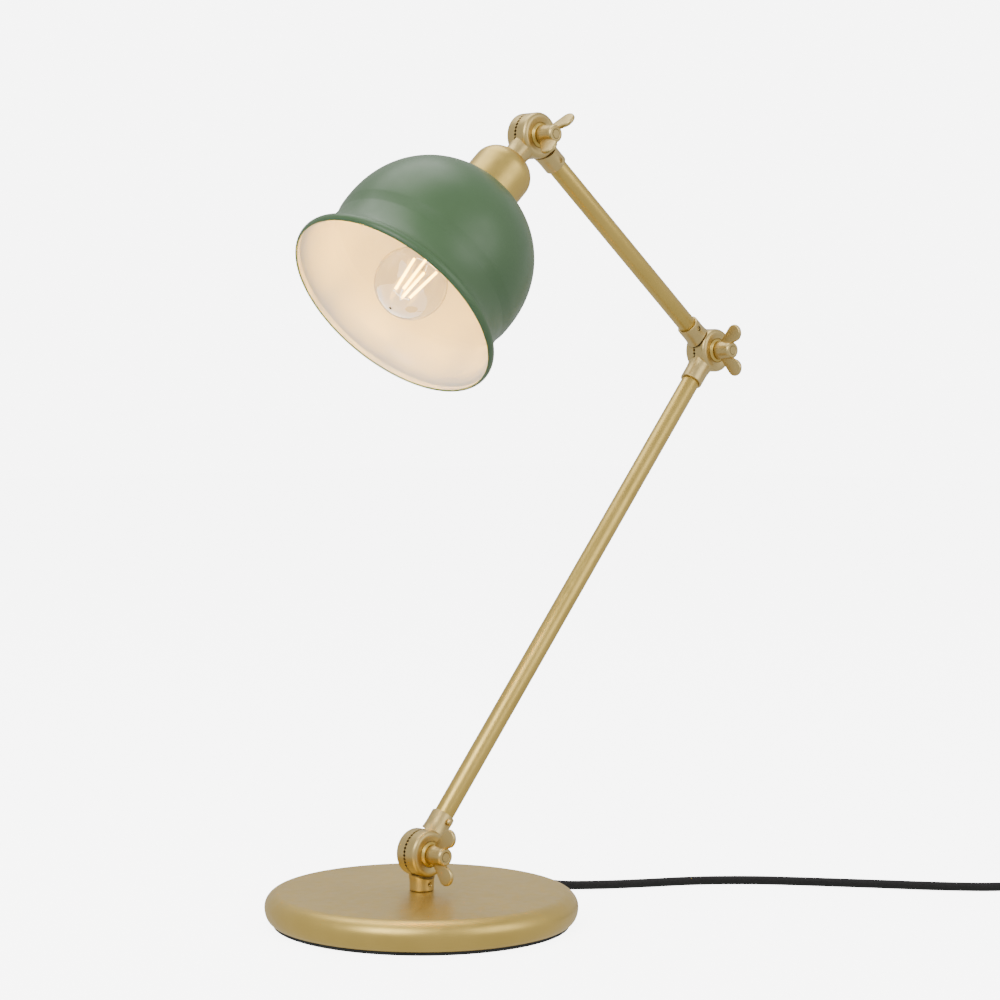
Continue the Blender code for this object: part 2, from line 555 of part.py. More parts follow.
def build_head(pivot):
    """Cup, shade with its clamp ring, lampholder and bulb, along the pivot's Z."""
    hole = NIPPLE_RADIUS + GAP
    cup_top = HEAD_COLLAR + GAP
    shoulder = (CUP_RADIUS - CUP_SHOULDER, cup_top + CUP_SHOULDER)
    dome_centre = RIM_DISTANCE - DOME_CENTRE
    inner = CUP_RADIUS - CUP_WALL
    rim = dome_centre - dome_rise(inner, DOME_RADIUS) - GAP
    profile = [(hole, cup_top)] + arc(shoulder, (CUP_SHOULDER, CUP_SHOULDER), -90, 0, 5)
    profile += [(CUP_RADIUS, rim), (inner, rim)]
    inside = CUP_SHOULDER - CUP_WALL
    profile += arc(shoulder, (inside, inside), 0, -90, 4) + [(hole, cup_top + CUP_WALL)]
    turned("shade_cup", profile, BRASS, pivot, None, 24)

    outer = shade_outline()
    lining = offset_outline(outer, -SHADE_WALL)
    lining[0] = (SHADE_HOLE, lining[0][1])
    profile = outer + lining[::-1]
    profile = [(radius, RIM_DISTANCE - height) for radius, height in profile]
    turned("shade", profile, GREEN, pivot, None, 32)

    rod(
        "head_nipple", NIPPLE_RADIUS, COLLAR_FLOOR + GAP, HOLDER_TOP + 8 * MM, STEEL, pivot,
        bore=NIPPLE_BORE, steps=12,
    )
    wall = HOLDER_RADIUS - HOLDER_BORE
    profile = [
        (hole, HOLDER_TOP), (HOLDER_RADIUS - 4 * MM, HOLDER_TOP), (HOLDER_RADIUS, HOLDER_TOP + 4 * MM),
        (HOLDER_RADIUS, HOLDER_JOINT), (HOLDER_BORE, HOLDER_JOINT), (HOLDER_BORE, HOLDER_TOP + 4 * MM + wall),
        (HOLDER_BORE - 2 * MM, HOLDER_TOP + wall), (hole, HOLDER_TOP + wall),
    ]
    turned("lampholder_cap", profile, BLACK, pivot, None, 24)
    rod("lampholder_skirt", HOLDER_RADIUS, HOLDER_JOINT + GAP, HOLDER_MOUTH, BLACK, pivot, bore=HOLDER_BORE)
    core_radius = HOLDER_BORE - GAP
    core_top = HOLDER_JOINT + 2 * MM
    contact_top = CAP_TOP - 7 * MM
    rod("lampholder_core", core_radius, core_top, contact_top - 1.5 * MM, CERAMIC, pivot, steps=24)
    rod("centre_contact", 4 * MM, contact_top - 1.5 * MM + GAP, contact_top - GAP, STEEL, pivot, steps=12)
    rod(
        "lampholder_thread", core_radius, contact_top, HOLDER_MOUTH - MM, BRASS, pivot,
        bore=CAP_RADIUS + GAP, steps=24,
    )
    ring_start = dome_centre - dome_rise(CLAMP_RING_RADIUS, DOME_RADIUS - SHADE_WALL) + GAP
    rod(
        "shade_clamp_ring", CLAMP_RING_RADIUS, ring_start, ring_start + CLAMP_RING_THICKNESS, BLACK, pivot,
        bore=HOLDER_RADIUS + GAP, steps=20,
    )
    build_bulb(pivot)


def build_bulb(pivot):
    """A clear globe bulb: screw cap, insulator, contact, glass, stem, support and filaments."""
    inner = CAP_RADIUS - MM
    profile = [(0, CAP_TOP), (inner - 2 * MM, CAP_TOP), (CAP_RADIUS, CAP_TOP + 2 * MM)]
    profile += [(CAP_RADIUS, CAP_MOUTH), (inner, CAP_MOUTH)]
    profile += [(inner, CAP_TOP + 3 * MM), (0, CAP_TOP + 3 * MM)]
    turned("bulb_cap", profile, NICKEL, pivot, None, 20)
    insulator_top = CAP_TOP - GAP
    insulator_end = insulator_top - 3.2 * MM
    insulator = [(0, insulator_end), (5.5 * MM, insulator_end), (9.5 * MM, insulator_top), (0, insulator_top)]
    turned("bulb_insulator", insulator, BLACK, pivot, None, 16)
    tip_top = insulator_end - GAP
    tip = [(0, tip_top - 1.4 * MM), (3.5 * MM, tip_top - 0.8 * MM), (4.5 * MM, tip_top), (0, tip_top)]
    turned("bulb_tip_contact", tip, NICKEL, pivot, None, 16)
    neck_angle = 180 - math.degrees(math.asin((GLOBE_NECK + 3.2 * MM) / GLOBE_RADIUS))
    outer = [
        (GLOBE_RADIUS * math.sin(math.radians(a)), GLOBE_CENTRE + GLOBE_RADIUS * math.cos(math.radians(a)))
        for a in np.linspace(0, neck_angle, 8)
    ]
    glass_end = CAP_MOUTH + GAP
    outer += [(GLOBE_NECK + MM, glass_end + 8 * MM), (GLOBE_NECK, glass_end + 4 * MM)]
    outer += [(GLOBE_NECK, glass_end)]
    inside = offset_outline(outer, GLASS_WALL)
    inside[0] = (0.0, outer[0][1] - GLASS_WALL)
    inside[-1] = (GLOBE_NECK - GLASS_WALL, glass_end)
    turned("bulb_globe", outer + inside[::-1], GLASS, pivot, None, 16)
    stem = [(0, CAP_TOP + 5 * MM), (6 * MM, CAP_TOP + 5 * MM), (5.2 * MM, CAP_MOUTH + 4 * MM)]
    stem_end = FILAMENT_ENDS[0] - 2 * MM
    stem += [(1.8 * MM, CAP_MOUTH + 8 * MM), (1.4 * MM, stem_end), (0, stem_end)]
    turned("bulb_stem", stem, GLASS, pivot, None, 16)
    low, high = stem_end + GAP, FILAMENT_ENDS[1]
    bottom, top = FILAMENT_SPREAD
    plate = top + FILAMENT_RADIUS
    support = [(0, low), (0.6 * MM, low), (0.6 * MM, high), (plate, high), (plate, high + MM), (0, high + MM)]
    mount = turned("filament_mount", support, FILAMENT, pivot, None, 16)
    lean = math.atan2(top - bottom, high - FILAMENT_ENDS[0])
    for index in range(FILAMENT_COUNT):
        turn = Matrix.Rotation(math.tau * (index + 0.5) / FILAMENT_COUNT, 4, "Z")
        middle = Matrix.Translation(((bottom + top) / 2, 0, (high + FILAMENT_ENDS[0]) / 2))
        half = (high - FILAMENT_ENDS[0]) / 2 + FILAMENT_RADIUS / 2
        place = turn @ middle @ Matrix.Rotation(lean, 4, "Y")
        filament = rod(f"filament_{index + 1}", FILAMENT_RADIUS, -half, half, FILAMENT, pivot, place, steps=8)
        boolean(mount, filament, "UNION")


for old in list(bpy.data.objects):
    bpy.data.objects.remove(old)

BRASS = material("satin_brass", (0.52, 0.40, 0.20), 1.0, 0.36)
STEEL = material("zinc_steel", (0.60, 0.60, 0.58), 1.0, 0.35)
NICKEL = material("nickel_cap", (0.72, 0.70, 0.66), 1.0, 0.25)
IRON = material("cast_iron", (0.10, 0.10, 0.10), 0.6, 0.7)
FELT = material("black_pad", (0.02, 0.02, 0.02), 0.0, 0.9)
RUBBER = material("black_rubber", (0.025, 0.025, 0.025), 0.0, 0.6)
PLASTIC = material("black_plastic", (0.02, 0.02, 0.02), 0.0, 0.4)
BLACK = material("phenolic", (0.03, 0.03, 0.03), 0.0, 0.35)
CERAMIC = material("ceramic", (0.85, 0.84, 0.80), 0.0, 0.3)
CORD = material("black_braid", (0.03, 0.028, 0.026), 0.0, 0.8)
GREEN = material("reed_green", (0.18, 0.28, 0.18), 0.0, 0.4)
GLASS = material("clear_glass", (1.0, 1.0, 1.0), 0.0, 0.02, 1.0)
FILAMENT = material("led_filament", (1.0, 0.72, 0.3), 0.0, 0.5)

lower_pivot = empty("lower_pivot", (0, 0, LOWER_PIVOT_HEIGHT), LOWER_LEAN)
elbow_pivot = empty("elbow_pivot", (0, 0, LOWER_ARM), ELBOW_BEND, lower_pivot)
head_pivot = empty("head_pivot", (0, 0, UPPER_ARM), HEAD_BEND, elbow_pivot)

TUBE_SOCKET = TUBE_RADIUS + GAP
NIPPLE_SOCKET = NIPPLE_RADIUS + GAP
STEM_COLLAR = LOWER_PIVOT_HEIGHT - BASE_TOP - GAP

build_base()
build_cord()
knuckle_half("stand_knuckle", None, LOWER_PIVOT_HEIGHT, 1, -1, STEM_COLLAR, NIPPLE_SOCKET, BRASS)
knuckle_hardware("stand", None, LOWER_PIVOT_HEIGHT, lower_pivot, 0, LOWER_NUT_TURN)
knuckle_half("lower_arm_foot_knuckle", lower_pivot, 0, -1, 1, ARM_COLLAR, TUBE_SOCKET, BRASS, stud=True)
build_arm("lower_arm", lower_pivot, LOWER_ARM)
knuckle_half("lower_arm_elbow_knuckle", lower_pivot, LOWER_ARM, -1, -1, ARM_COLLAR, TUBE_SOCKET, BRASS, 1)
knuckle_half("upper_arm_elbow_knuckle", elbow_pivot, 0, 1, 1, ARM_COLLAR, TUBE_SOCKET, BRASS)
knuckle_hardware("elbow", elbow_pivot, 0, lower_pivot, LOWER_ARM, ELBOW_NUT_TURN - LOWER_LEAN - ELBOW_BEND)
build_arm("upper_arm", elbow_pivot, UPPER_ARM)
knuckle_half("upper_arm_head_knuckle", elbow_pivot, UPPER_ARM, 1, -1, ARM_COLLAR, TUBE_SOCKET, BRASS)
knuckle_hardware("head", elbow_pivot, UPPER_ARM, head_pivot, 0, HEAD_NUT_TURN - LOWER_LEAN - ELBOW_BEND)
knuckle_half("head_knuckle", head_pivot, 0, -1, 1, HEAD_COLLAR, NIPPLE_SOCKET, BRASS, 1)
build_head(head_pivot)
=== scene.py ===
"""The finished look of a swing arm desk lamp: satin brass arms on toothed knuckles, and a green domed shade.

Everything is in metres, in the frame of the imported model: +Z up, and the arms swing in the XZ plane.
"""
import json
import math

import bmesh
import bpy
import numpy as np
from mathutils import Matrix, Vector


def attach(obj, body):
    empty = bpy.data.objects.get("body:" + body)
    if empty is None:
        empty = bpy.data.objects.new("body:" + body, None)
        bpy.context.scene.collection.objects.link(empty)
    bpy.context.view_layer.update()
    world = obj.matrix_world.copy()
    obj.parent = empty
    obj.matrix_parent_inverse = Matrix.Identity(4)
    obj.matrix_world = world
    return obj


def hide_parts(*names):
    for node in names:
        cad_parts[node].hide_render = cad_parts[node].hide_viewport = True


MM = 0.001

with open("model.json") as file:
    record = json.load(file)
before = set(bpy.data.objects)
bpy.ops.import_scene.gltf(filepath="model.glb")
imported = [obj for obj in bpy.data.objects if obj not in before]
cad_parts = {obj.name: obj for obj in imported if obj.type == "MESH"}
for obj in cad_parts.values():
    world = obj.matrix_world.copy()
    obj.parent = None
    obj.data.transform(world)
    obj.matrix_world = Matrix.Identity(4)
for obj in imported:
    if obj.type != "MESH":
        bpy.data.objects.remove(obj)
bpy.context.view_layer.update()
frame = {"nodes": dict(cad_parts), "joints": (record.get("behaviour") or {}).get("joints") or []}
nodes = frame["nodes"]
pivots = {joint["name"]: np.array(joint["pos_m"]) for joint in frame["joints"]}
foot, elbow, wrist = pivots["lower_tilt"], pivots["elbow_bend"], pivots["head_tilt"]


def unit(vector):
    """The vector divided by its own length."""
    return np.array(vector, float) / np.linalg.norm(vector)


LOWER_WAY = unit(elbow - foot)
UPPER_WAY = unit(wrist - elbow)
LOWER_LEAN, ELBOW_TURN, WRIST_TURN = 39.7, -91.4, -81.7
HEAD_TURN = math.radians(LOWER_LEAN + ELBOW_TURN + WRIST_TURN)
HEAD_WAY = np.array([math.sin(HEAD_TURN), 0, math.cos(HEAD_TURN)])
UP = np.array([0.0, 0.0, 1.0])
ACROSS = np.array([0.0, 1.0, 0.0])


def linked(name, data):
    """A new object in the scene that holds the data."""
    thing = bpy.data.objects.new(name, data)
    bpy.context.scene.collection.objects.link(thing)
    return thing


# Camera

CAMERA_SPOT = (-1.0859, -1.2136, 0.3499)
CAMERA_AHEAD = (0.6886, 0.7251)
CAMERA_PITCH, CAMERA_ROLL = 2.8, 0.37
LENS_LENGTH, SENSOR_WIDTH = 92.7, 36


def set_camera():
    """A long lens at table height: its right and up directions are turned a little about the view."""
    forward_level = np.array([CAMERA_AHEAD[0], CAMERA_AHEAD[1], 0.0])
    right_level = np.array([CAMERA_AHEAD[1], -CAMERA_AHEAD[0], 0.0])
    pitch, roll = math.radians(CAMERA_PITCH), math.radians(CAMERA_ROLL)
    forward = forward_level * math.cos(pitch) - UP * math.sin(pitch)
    up_level = forward_level * math.sin(pitch) + UP * math.cos(pitch)
    right = right_level * math.cos(roll) + up_level * math.sin(roll)
    up = up_level * math.cos(roll) - right_level * math.sin(roll)
    lens = bpy.data.cameras.new("camera")
    lens.lens = LENS_LENGTH
    lens.sensor_width = SENSOR_WIDTH
    camera = linked("camera", lens)
    rows = [(right[k], up[k], -forward[k], CAMERA_SPOT[k]) for k in range(3)]
    camera.matrix_world = Matrix((*rows, (0, 0, 0, 1)))
    bpy.context.scene.camera = camera


# Shapes: grids of points

def moved(points, place):
    """Each point turned and shifted by a 4 by 4 matrix."""
    matrix = np.array(place)
    return points @ matrix[:3, :3].T + matrix[:3, 3]


def place_along(origin, way, side=ACROSS):
    """A place whose Z is way and whose X is as near to side as it can be."""
    z = unit(way)
    if abs(np.dot(z, side)) > 0.99:
        side = np.array([1.0, 0.0, 0.0])
    x = unit(side - z * np.dot(side, z))
    y = np.cross(z, x)
    matrix = np.eye(4)
    matrix[:3, 0], matrix[:3, 1], matrix[:3, 2], matrix[:3, 3] = x, y, z, origin
    return matrix


def bow(centre, radii, start, end, count):
    """Points on an ellipse: centre + (a cos t, b sin t) for t from start to end in degrees."""
    t = np.radians(np.linspace(start, end, count))
    return np.stack([centre[0] + radii[0] * np.cos(t), centre[1] + radii[1] * np.sin(t)], axis=1)


def eased(corners, radius, steps=4):
    """A closed outline with rounded corners: each corner becomes the curve (1-t)^2 A + 2t(1-t) C + t^2 B
    from A to B, which lie radius away from the corner C on its two sides. A corner on the axis stays."""
    corner = np.array(corners, float)
    back = np.roll(corner, 1, axis=0) - corner
    ahead = np.roll(corner, -1, axis=0) - corner
    reach = np.where(np.abs(corner[:, 0]) < 1e-9, 0.0, radius)
    back_length = np.maximum(np.linalg.norm(back, axis=1), 1e-12)
    ahead_length = np.maximum(np.linalg.norm(ahead, axis=1), 1e-12)
    start = corner + back * (np.minimum(reach, 0.45 * back_length) / back_length)[:, None]
    end = corner + ahead * (np.minimum(reach, 0.45 * ahead_length) / ahead_length)[:, None]
    t = np.linspace(0, 1, steps)[None, :, None]
    curve = (1 - t) ** 2 * start[:, None] + 2 * t * (1 - t) * corner[:, None] + t**2 * end[:, None]
    return curve.reshape(-1, 2)


def lathe(profile, steps, place, ripple=None):
    """A turned surface: a profile (r, h) carried round Z, so a point is (r cos a, r sin a, h).
    ripple(r, h, a) may change r and h with the angle, as for teeth and threads."""
    angle = np.linspace(0, math.tau, steps, endpoint=False)[None, :]
    radius = profile[:, 0:1] + 0 * angle
    height = profile[:, 1:2] + 0 * angle
    if ripple:
        radius, height = ripple(radius, height, angle)
    points = np.stack([radius * np.cos(angle), radius * np.sin(angle), height], axis=-1)
    return moved(points, place)


def slab(outline, levels, place):
    """A plate: the outline drawn in along its own normals by each level's inset, at that level's height,
    between two flat ends that close at the outline's middle."""
    outline = outline[np.linalg.norm(outline - np.roll(outline, 1, axis=0), axis=1) > 1e-9]
    along = np.roll(outline, -1, axis=0) - np.roll(outline, 1, axis=0)
    along /= np.linalg.norm(along, axis=1)[:, None]
    inward = np.stack([-along[:, 1], along[:, 0]], axis=1)
    inset = np.array([level[0] for level in levels])[:, None, None]
    height = np.array([level[1] for level in levels])[:, None, None] + 0 * outline[None, :, :1]
    rows = np.concatenate([outline[None] + inward[None] * inset, height], axis=2)
    middle = np.broadcast_to(outline.mean(axis=0), outline.shape)
    low = np.concatenate([middle, height[0]], axis=1)[None]
    high = np.concatenate([middle, height[-1]], axis=1)[None]
    return moved(np.concatenate([low, rows, high]), place)


def rounded_levels(low, high, edge, steps=4):
    """Levels of a plate whose two rims are quarter rounds: inset e(1 - cos t), height e sin t."""
    t = np.radians(np.linspace(-90, 0, steps))
    lower = [(edge * (1 - math.cos(a)), low + edge + edge * math.sin(a)) for a in t]
    upper = [(edge * (1 - math.cos(a)), high - edge - edge * math.sin(a)) for a in t[::-1]]
    return lower + upper


def closed_ends(path, rings):
    """The rings with the path's first and last points as poles before and after them."""
    around = rings.shape[1]
    first, last = path[None, :1].repeat(around, axis=1), path[None, -1:].repeat(around, axis=1)
    return np.concatenate([first, rings, last])


def tube(path, radius, around, weave=None):
    """A tube: each point P of the path carries the circle P + r (cos a side + sin a over) across its way.
    weave(a, s) changes r with the angle and the distance along."""
    way = np.gradient(path, axis=0)
    way /= np.linalg.norm(way, axis=1)[:, None]
    side = np.cross(way, UP)
    side /= np.linalg.norm(side, axis=1)[:, None]
    over = np.cross(side, way)
    walked = np.concatenate([[0], np.cumsum(np.linalg.norm(np.diff(path, axis=0), axis=1))])
    angle = np.linspace(0, math.tau, around, endpoint=False)[None, :]
    radii = radius + 0 * angle + 0 * walked[:, None]
    if weave:
        radii = radii + weave(angle, walked[:, None])
    ring = np.cos(angle)[..., None] * side[:, None] + np.sin(angle)[..., None] * over[:, None]
    points = path[:, None] + radii[..., None] * ring
    return closed_ends(path, points)


def spline(points, spacing):
    """Evenly spaced points on the curve through the points, whose pieces are
    (2b + (c-a)u + (2a-5b+4c-d)u^2 + (3b-a-3c+d)u^3) / 2 for neighbours a, b, c, d."""
    route = np.array(points, float)
    padded = np.vstack([2 * route[0] - route[1], route, 2 * route[-1] - route[-2]])
    a, b, c, d = padded[:-3, None], padded[1:-2, None], padded[2:-1, None], padded[3:, None]
    u = np.linspace(0, 1, 24, endpoint=False)[None, :, None]
    square, cube = 2 * a - 5 * b + 4 * c - d, 3 * b - a - 3 * c + d
    dense = 0.5 * (2 * b + (c - a) * u + square * u**2 + cube * u**3)
    dense = np.vstack([dense.reshape(-1, 3), route[-1:]])
    walked = np.concatenate([[0], np.cumsum(np.linalg.norm(np.diff(dense, axis=0), axis=1))])
    stops = np.linspace(0, walked[-1], max(3, round(walked[-1] / spacing) + 1))
    return np.stack([np.interp(stops, walked, dense[:, k]) for k in range(3)], axis=1)


def mesh_of(name, grid, wrap_rows=False, sharp=32.0):
    """A mesh from a grid of points: a quad between each four neighbours, wrapped round the columns, and
    round the rows where wrap_rows says so. Rows that meet at one point close as a pole. The UV map holds
    the mean distance round (u) and along (v), in metres."""
    rows, columns = grid.shape[:2]
    i = np.arange(rows if wrap_rows else rows - 1)[:, None]
    j = np.arange(columns)[None, :]
    i_next, j_next = (i + 1) % rows, (j + 1) % columns
    faces = np.stack([
        i * columns + j, i * columns + j_next, i_next * columns + j_next, i_next * columns + j
    ], axis=-1).reshape(-1, 4)
    around = np.linalg.norm(np.roll(grid, -1, axis=1) - grid, axis=2).max(axis=0)
    along = np.linalg.norm(np.roll(grid, -1, axis=0) - grid, axis=2).mean(axis=1)
    u = np.concatenate([[0], np.cumsum(around)])
    v = np.concatenate([[0], np.cumsum(along)])
    left, right = u[:-1][None, :] + 0.0 * i, u[1:][None, :] + 0.0 * i
    low, high = v[i] + 0.0 * j, v[i + 1] + 0.0 * j
    places = np.stack([
        np.stack([left, low], -1), np.stack([right, low], -1),
        np.stack([right, high], -1), np.stack([left, high], -1),
    ], axis=2)
    mesh = bpy.data.meshes.new(name)
    mesh.from_pydata(grid.reshape(-1, 3).tolist(), [], faces.tolist())
    mesh.uv_layers.new(name="UVMap").data.foreach_set("uv", places.astype(np.float32).ravel())
    bm = bmesh.new()
    bm.from_mesh(mesh)
    bmesh.ops.remove_doubles(bm, verts=bm.verts, dist=1e-6)
    bmesh.ops.recalc_face_normals(bm, faces=bm.faces)
    if bm.calc_volume(signed=True) < 0:
        bmesh.ops.reverse_faces(bm, faces=bm.faces)
    bm.to_mesh(mesh)
    bm.free()
    mesh.shade_smooth()
    mesh.set_sharp_from_angle(angle=math.radians(sharp))
    return mesh


def solid(name, grid, wrap_rows=False, sharp=32.0):
    """An object that holds the grid's mesh."""
    return linked(name, mesh_of(name, grid, wrap_rows, sharp))


def carved(thing, steps, sharp=32.0):
    """Cut or join other solids, one after another, and keep only the finished mesh."""
    for operation, other in steps:
        modifier = thing.modifiers.new(other.name, "BOOLEAN")
        modifier.operation, modifier.solver, modifier.object = operation, "EXACT", other
    bpy.context.view_layer.update()
    result = bpy.data.meshes.new_from_object(thing.evaluated_get(bpy.context.evaluated_depsgraph_get()))
    thing.modifiers.clear()
    thing.data = result
    for _, other in steps:
        bpy.data.objects.remove(other)
    result.shade_smooth()
    result.set_sharp_from_angle(angle=math.radians(sharp))
    return thing


def finished(thing, finish, body, slot, *stands_for):
    """Give the piece its finish, its body and the solids that it stands for; the slot argument is not used.
    """
    thing.data.materials.clear()
    thing.data.materials.append(finish)
    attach(thing, body)
    if stands_for:
        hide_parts(*stands_for)
    return thing


# Finishes

def add_node(tree, kind, settings=None, **inputs):
    """A shader node with its settings, and its inputs set or linked by name, or by number as i0, i1."""
    node = tree.nodes.new(kind)
    for key, value in (settings or {}).items():
        setattr(node, key, value)
    for key, value in inputs.items():
        numbered = key[0] == "i" and key[1:].isdigit()
        socket = node.inputs[int(key[1:]) if numbered else key.replace("_", " ")]
        if isinstance(value, bpy.types.NodeSocket):
            tree.links.new(value, socket)
        else:
            socket.default_value = value
    return node


def base_finish(name, colour, roughness, metallic=0.0, **sockets):
    """A Principled shader with its uniform values on its own sockets."""
    finish = bpy.data.materials.new(name)
    finish.use_nodes = True
    shader = finish.node_tree.nodes["Principled BSDF"]
    shader.inputs["Base Color"].default_value = (*colour, 1)
    shader.inputs["Roughness"].default_value = roughness
    shader.inputs["Metallic"].default_value = metallic
    for key, value in sockets.items():
        shader.inputs[key.replace("_", " ")].default_value = value
    return finish, finish.node_tree, shader


def two_tone(tree, shader, coordinate, scale, low, high):
    """The base colour drifts between two tones with a soft noise."""
    noise = add_node(tree, "ShaderNodeTexNoise", Vector=coordinate, Scale=scale, Detail=3.0)
    ramp = add_node(tree, "ShaderNodeValToRGB", Fac=noise.outputs["Fac"])
    ramp.color_ramp.elements[0].position, ramp.color_ramp.elements[0].color = 0.3, (*low, 1)
    ramp.color_ramp.elements[1].position, ramp.color_ramp.elements[1].color = 0.7, (*high, 1)
    tree.links.new(ramp.outputs["Color"], shader.inputs["Base Color"])


def vary_roughness(tree, shader, coordinate, scale, low, high):
    """The roughness drifts between two values."""
    noise = add_node(tree, "ShaderNodeTexNoise", Vector=coordinate, Scale=scale, Detail=4.0)
    span = add_node(tree, "ShaderNodeMapRange", Value=noise.outputs["Fac"], To_Min=low, To_Max=high)
    span.inputs["From Min"].default_value, span.inputs["From Max"].default_value = 0.3, 0.7
    tree.links.new(span.outputs["Result"], shader.inputs["Roughness"])


def raise_grain(tree, shader, height, strength, distance):
    """A bump from a height, on the shader's normal."""
    bump = add_node(tree, "ShaderNodeBump", Height=height, Strength=strength, Distance=distance)
    tree.links.new(bump.outputs["Normal"], shader.inputs["Normal"])


def brass(name, brushed):
    """Satin brass under lacquer. Turned pieces carry fine brush lines round them, cast ones a sandy grain."""
    finish, tree, shader = base_finish(
        name, (0.62, 0.49, 0.27), 0.4, 1.0, Coat_Weight=0.08, Coat_Roughness=0.25,
    )
    places = tree.nodes.new("ShaderNodeTexCoord")
    two_tone(tree, shader, places.outputs["Object"], 24.0, *(TURNED_TONES if brushed else CAST_TONES))
    vary_roughness(tree, shader, places.outputs["Object"], 160.0, 0.34, 0.43)
    grain = add_node(tree, "ShaderNodeTexNoise", Vector=places.outputs["Object"], Scale=1900.0, Detail=2.0)
    if not brushed:
        raise_grain(tree, shader, grain.outputs["Fac"], 0.22, 0.00012)
        return finish
    stretch = add_node(tree, "ShaderNodeMapping", Vector=places.outputs["UV"], Scale=(70.0, 5200.0, 1.0))
    lines = add_node(tree, "ShaderNodeTexNoise", Vector=stretch.outputs["Vector"], Scale=1.0, Detail=3.0)
    both = add_node(tree, "ShaderNodeMath", {"operation": "MULTIPLY_ADD"}, i0=lines.outputs["Fac"], i1=0.7)
    tree.links.new(grain.outputs["Fac"], both.inputs[2])
    raise_grain(tree, shader, both.outputs["Value"], 0.10, 0.00012)
    return finish


def paint(name, low, high, roughness, **sockets):
    """Sprayed enamel: a faint drift of tone and the gentle waves of sprayed paint."""
    finish, tree, shader = base_finish(name, high, roughness[0], **sockets)
    places = tree.nodes.new("ShaderNodeTexCoord")
    two_tone(tree, shader, places.outputs["Object"], 18.0, low, high)
    vary_roughness(tree, shader, places.outputs["Object"], 90.0, *roughness)
    waves = add_node(tree, "ShaderNodeTexNoise", Vector=places.outputs["Object"], Scale=420.0, Detail=2.0)
    raise_grain(tree, shader, waves.outputs["Fac"], 0.06, 0.0002)
    return finish


def plain_metal(name, low, high, roughness, scale=900.0):
    """Plated or cast metal with a fine grain."""
    finish, tree, shader = base_finish(name, high, roughness[0], 1.0)
    places = tree.nodes.new("ShaderNodeTexCoord")
    two_tone(tree, shader, places.outputs["Object"], 60.0, low, high)
    vary_roughness(tree, shader, places.outputs["Object"], 200.0, *roughness)
    grain = add_node(tree, "ShaderNodeTexNoise", Vector=places.outputs["Object"], Scale=scale, Detail=3.0)
    raise_grain(tree, shader, grain.outputs["Fac"], 0.25, 0.0002)
    return finish


def moulded(name, low, high, roughness, scale, depth, **sockets):
    """Moulded plastic, rubber or ceramic: spark-eroded grain of one scale and depth."""
    finish, tree, shader = base_finish(name, high, roughness[0], **sockets)
    places = tree.nodes.new("ShaderNodeTexCoord")
    two_tone(tree, shader, places.outputs["Object"], 50.0, low, high)
    vary_roughness(tree, shader, places.outputs["Object"], 300.0, *roughness)
    grain = add_node(tree, "ShaderNodeTexVoronoi", Vector=places.outputs["Object"], Scale=scale)
    raise_grain(tree, shader, grain.outputs["Distance"], 0.3, depth)
    return finish


def braid(name):
    """Black cotton braid: yarns lie along the weave's two diagonals, each with fine twisted threads."""
    finish, tree, shader = base_finish(
        name, (0.004, 0.004, 0.004), 0.85, Sheen_Weight=0.05, Sheen_Roughness=0.5,
    )
    places = tree.nodes.new("ShaderNodeTexCoord")
    two_tone(tree, shader, places.outputs["Object"], 700.0, (0.002, 0.002, 0.002), (0.008, 0.0076, 0.007))
    threads = []
    for lean in (1, -1):
        turn = add_node(
            tree, "ShaderNodeMapping", Vector=places.outputs["UV"],
            Rotation=(0, 0, lean * math.radians(52)), Scale=(2600.0, 2600.0, 1.0),
        )
        wave = add_node(tree, "ShaderNodeTexWave", Vector=turn.outputs["Vector"], Scale=0.6, Distortion=1.2)
        threads.append(wave.outputs["Fac"])
    both = add_node(tree, "ShaderNodeMath", {"operation": "MAXIMUM"}, i0=threads[0], i1=threads[1])
    raise_grain(tree, shader, both.outputs["Value"], 0.35, 0.0002)
    return finish


def clear_glass(name):
    """Blown glass: clear, with long weak waves."""
    finish, tree, shader = base_finish(name, (1.0, 1.0, 1.0), 0.0, Transmission_Weight=1.0, IOR=1.48)
    places = tree.nodes.new("ShaderNodeTexCoord")
    waves = add_node(tree, "ShaderNodeTexNoise", Vector=places.outputs["Object"], Scale=60.0, Detail=1.0)
    raise_grain(tree, shader, waves.outputs["Fac"], 0.04, 0.0003)
    return finish


def lit_filament(name):
    """The lit coating of a filament: warm, its base and glow tones drifting with a noise."""
    finish, tree, shader = base_finish(name, (1.0, 0.72, 0.35), 0.5, Emission_Strength=FILAMENT_LIGHT)
    places = tree.nodes.new("ShaderNodeTexCoord")
    two_tone(tree, shader, places.outputs["Object"], 500.0, (0.95, 0.6, 0.25), (1.0, 0.75, 0.4))
    noise = add_node(tree, "ShaderNodeTexNoise", Vector=places.outputs["Object"], Scale=900.0)
    ramp = add_node(tree, "ShaderNodeValToRGB", Fac=noise.outputs["Fac"])
    ramp.color_ramp.elements[0].color = (1.0, 0.48, 0.03, 1)
    ramp.color_ramp.elements[1].color = (1.0, 0.56, 0.06, 1)
    tree.links.new(ramp.outputs["Color"], shader.inputs["Emission Color"])
    return finish


TURNED_TONES = ((0.60, 0.425, 0.11), (0.67, 0.48, 0.13))
CAST_TONES = ((0.58, 0.435, 0.17), (0.65, 0.49, 0.20))
FILAMENT_LIGHT = 240.0

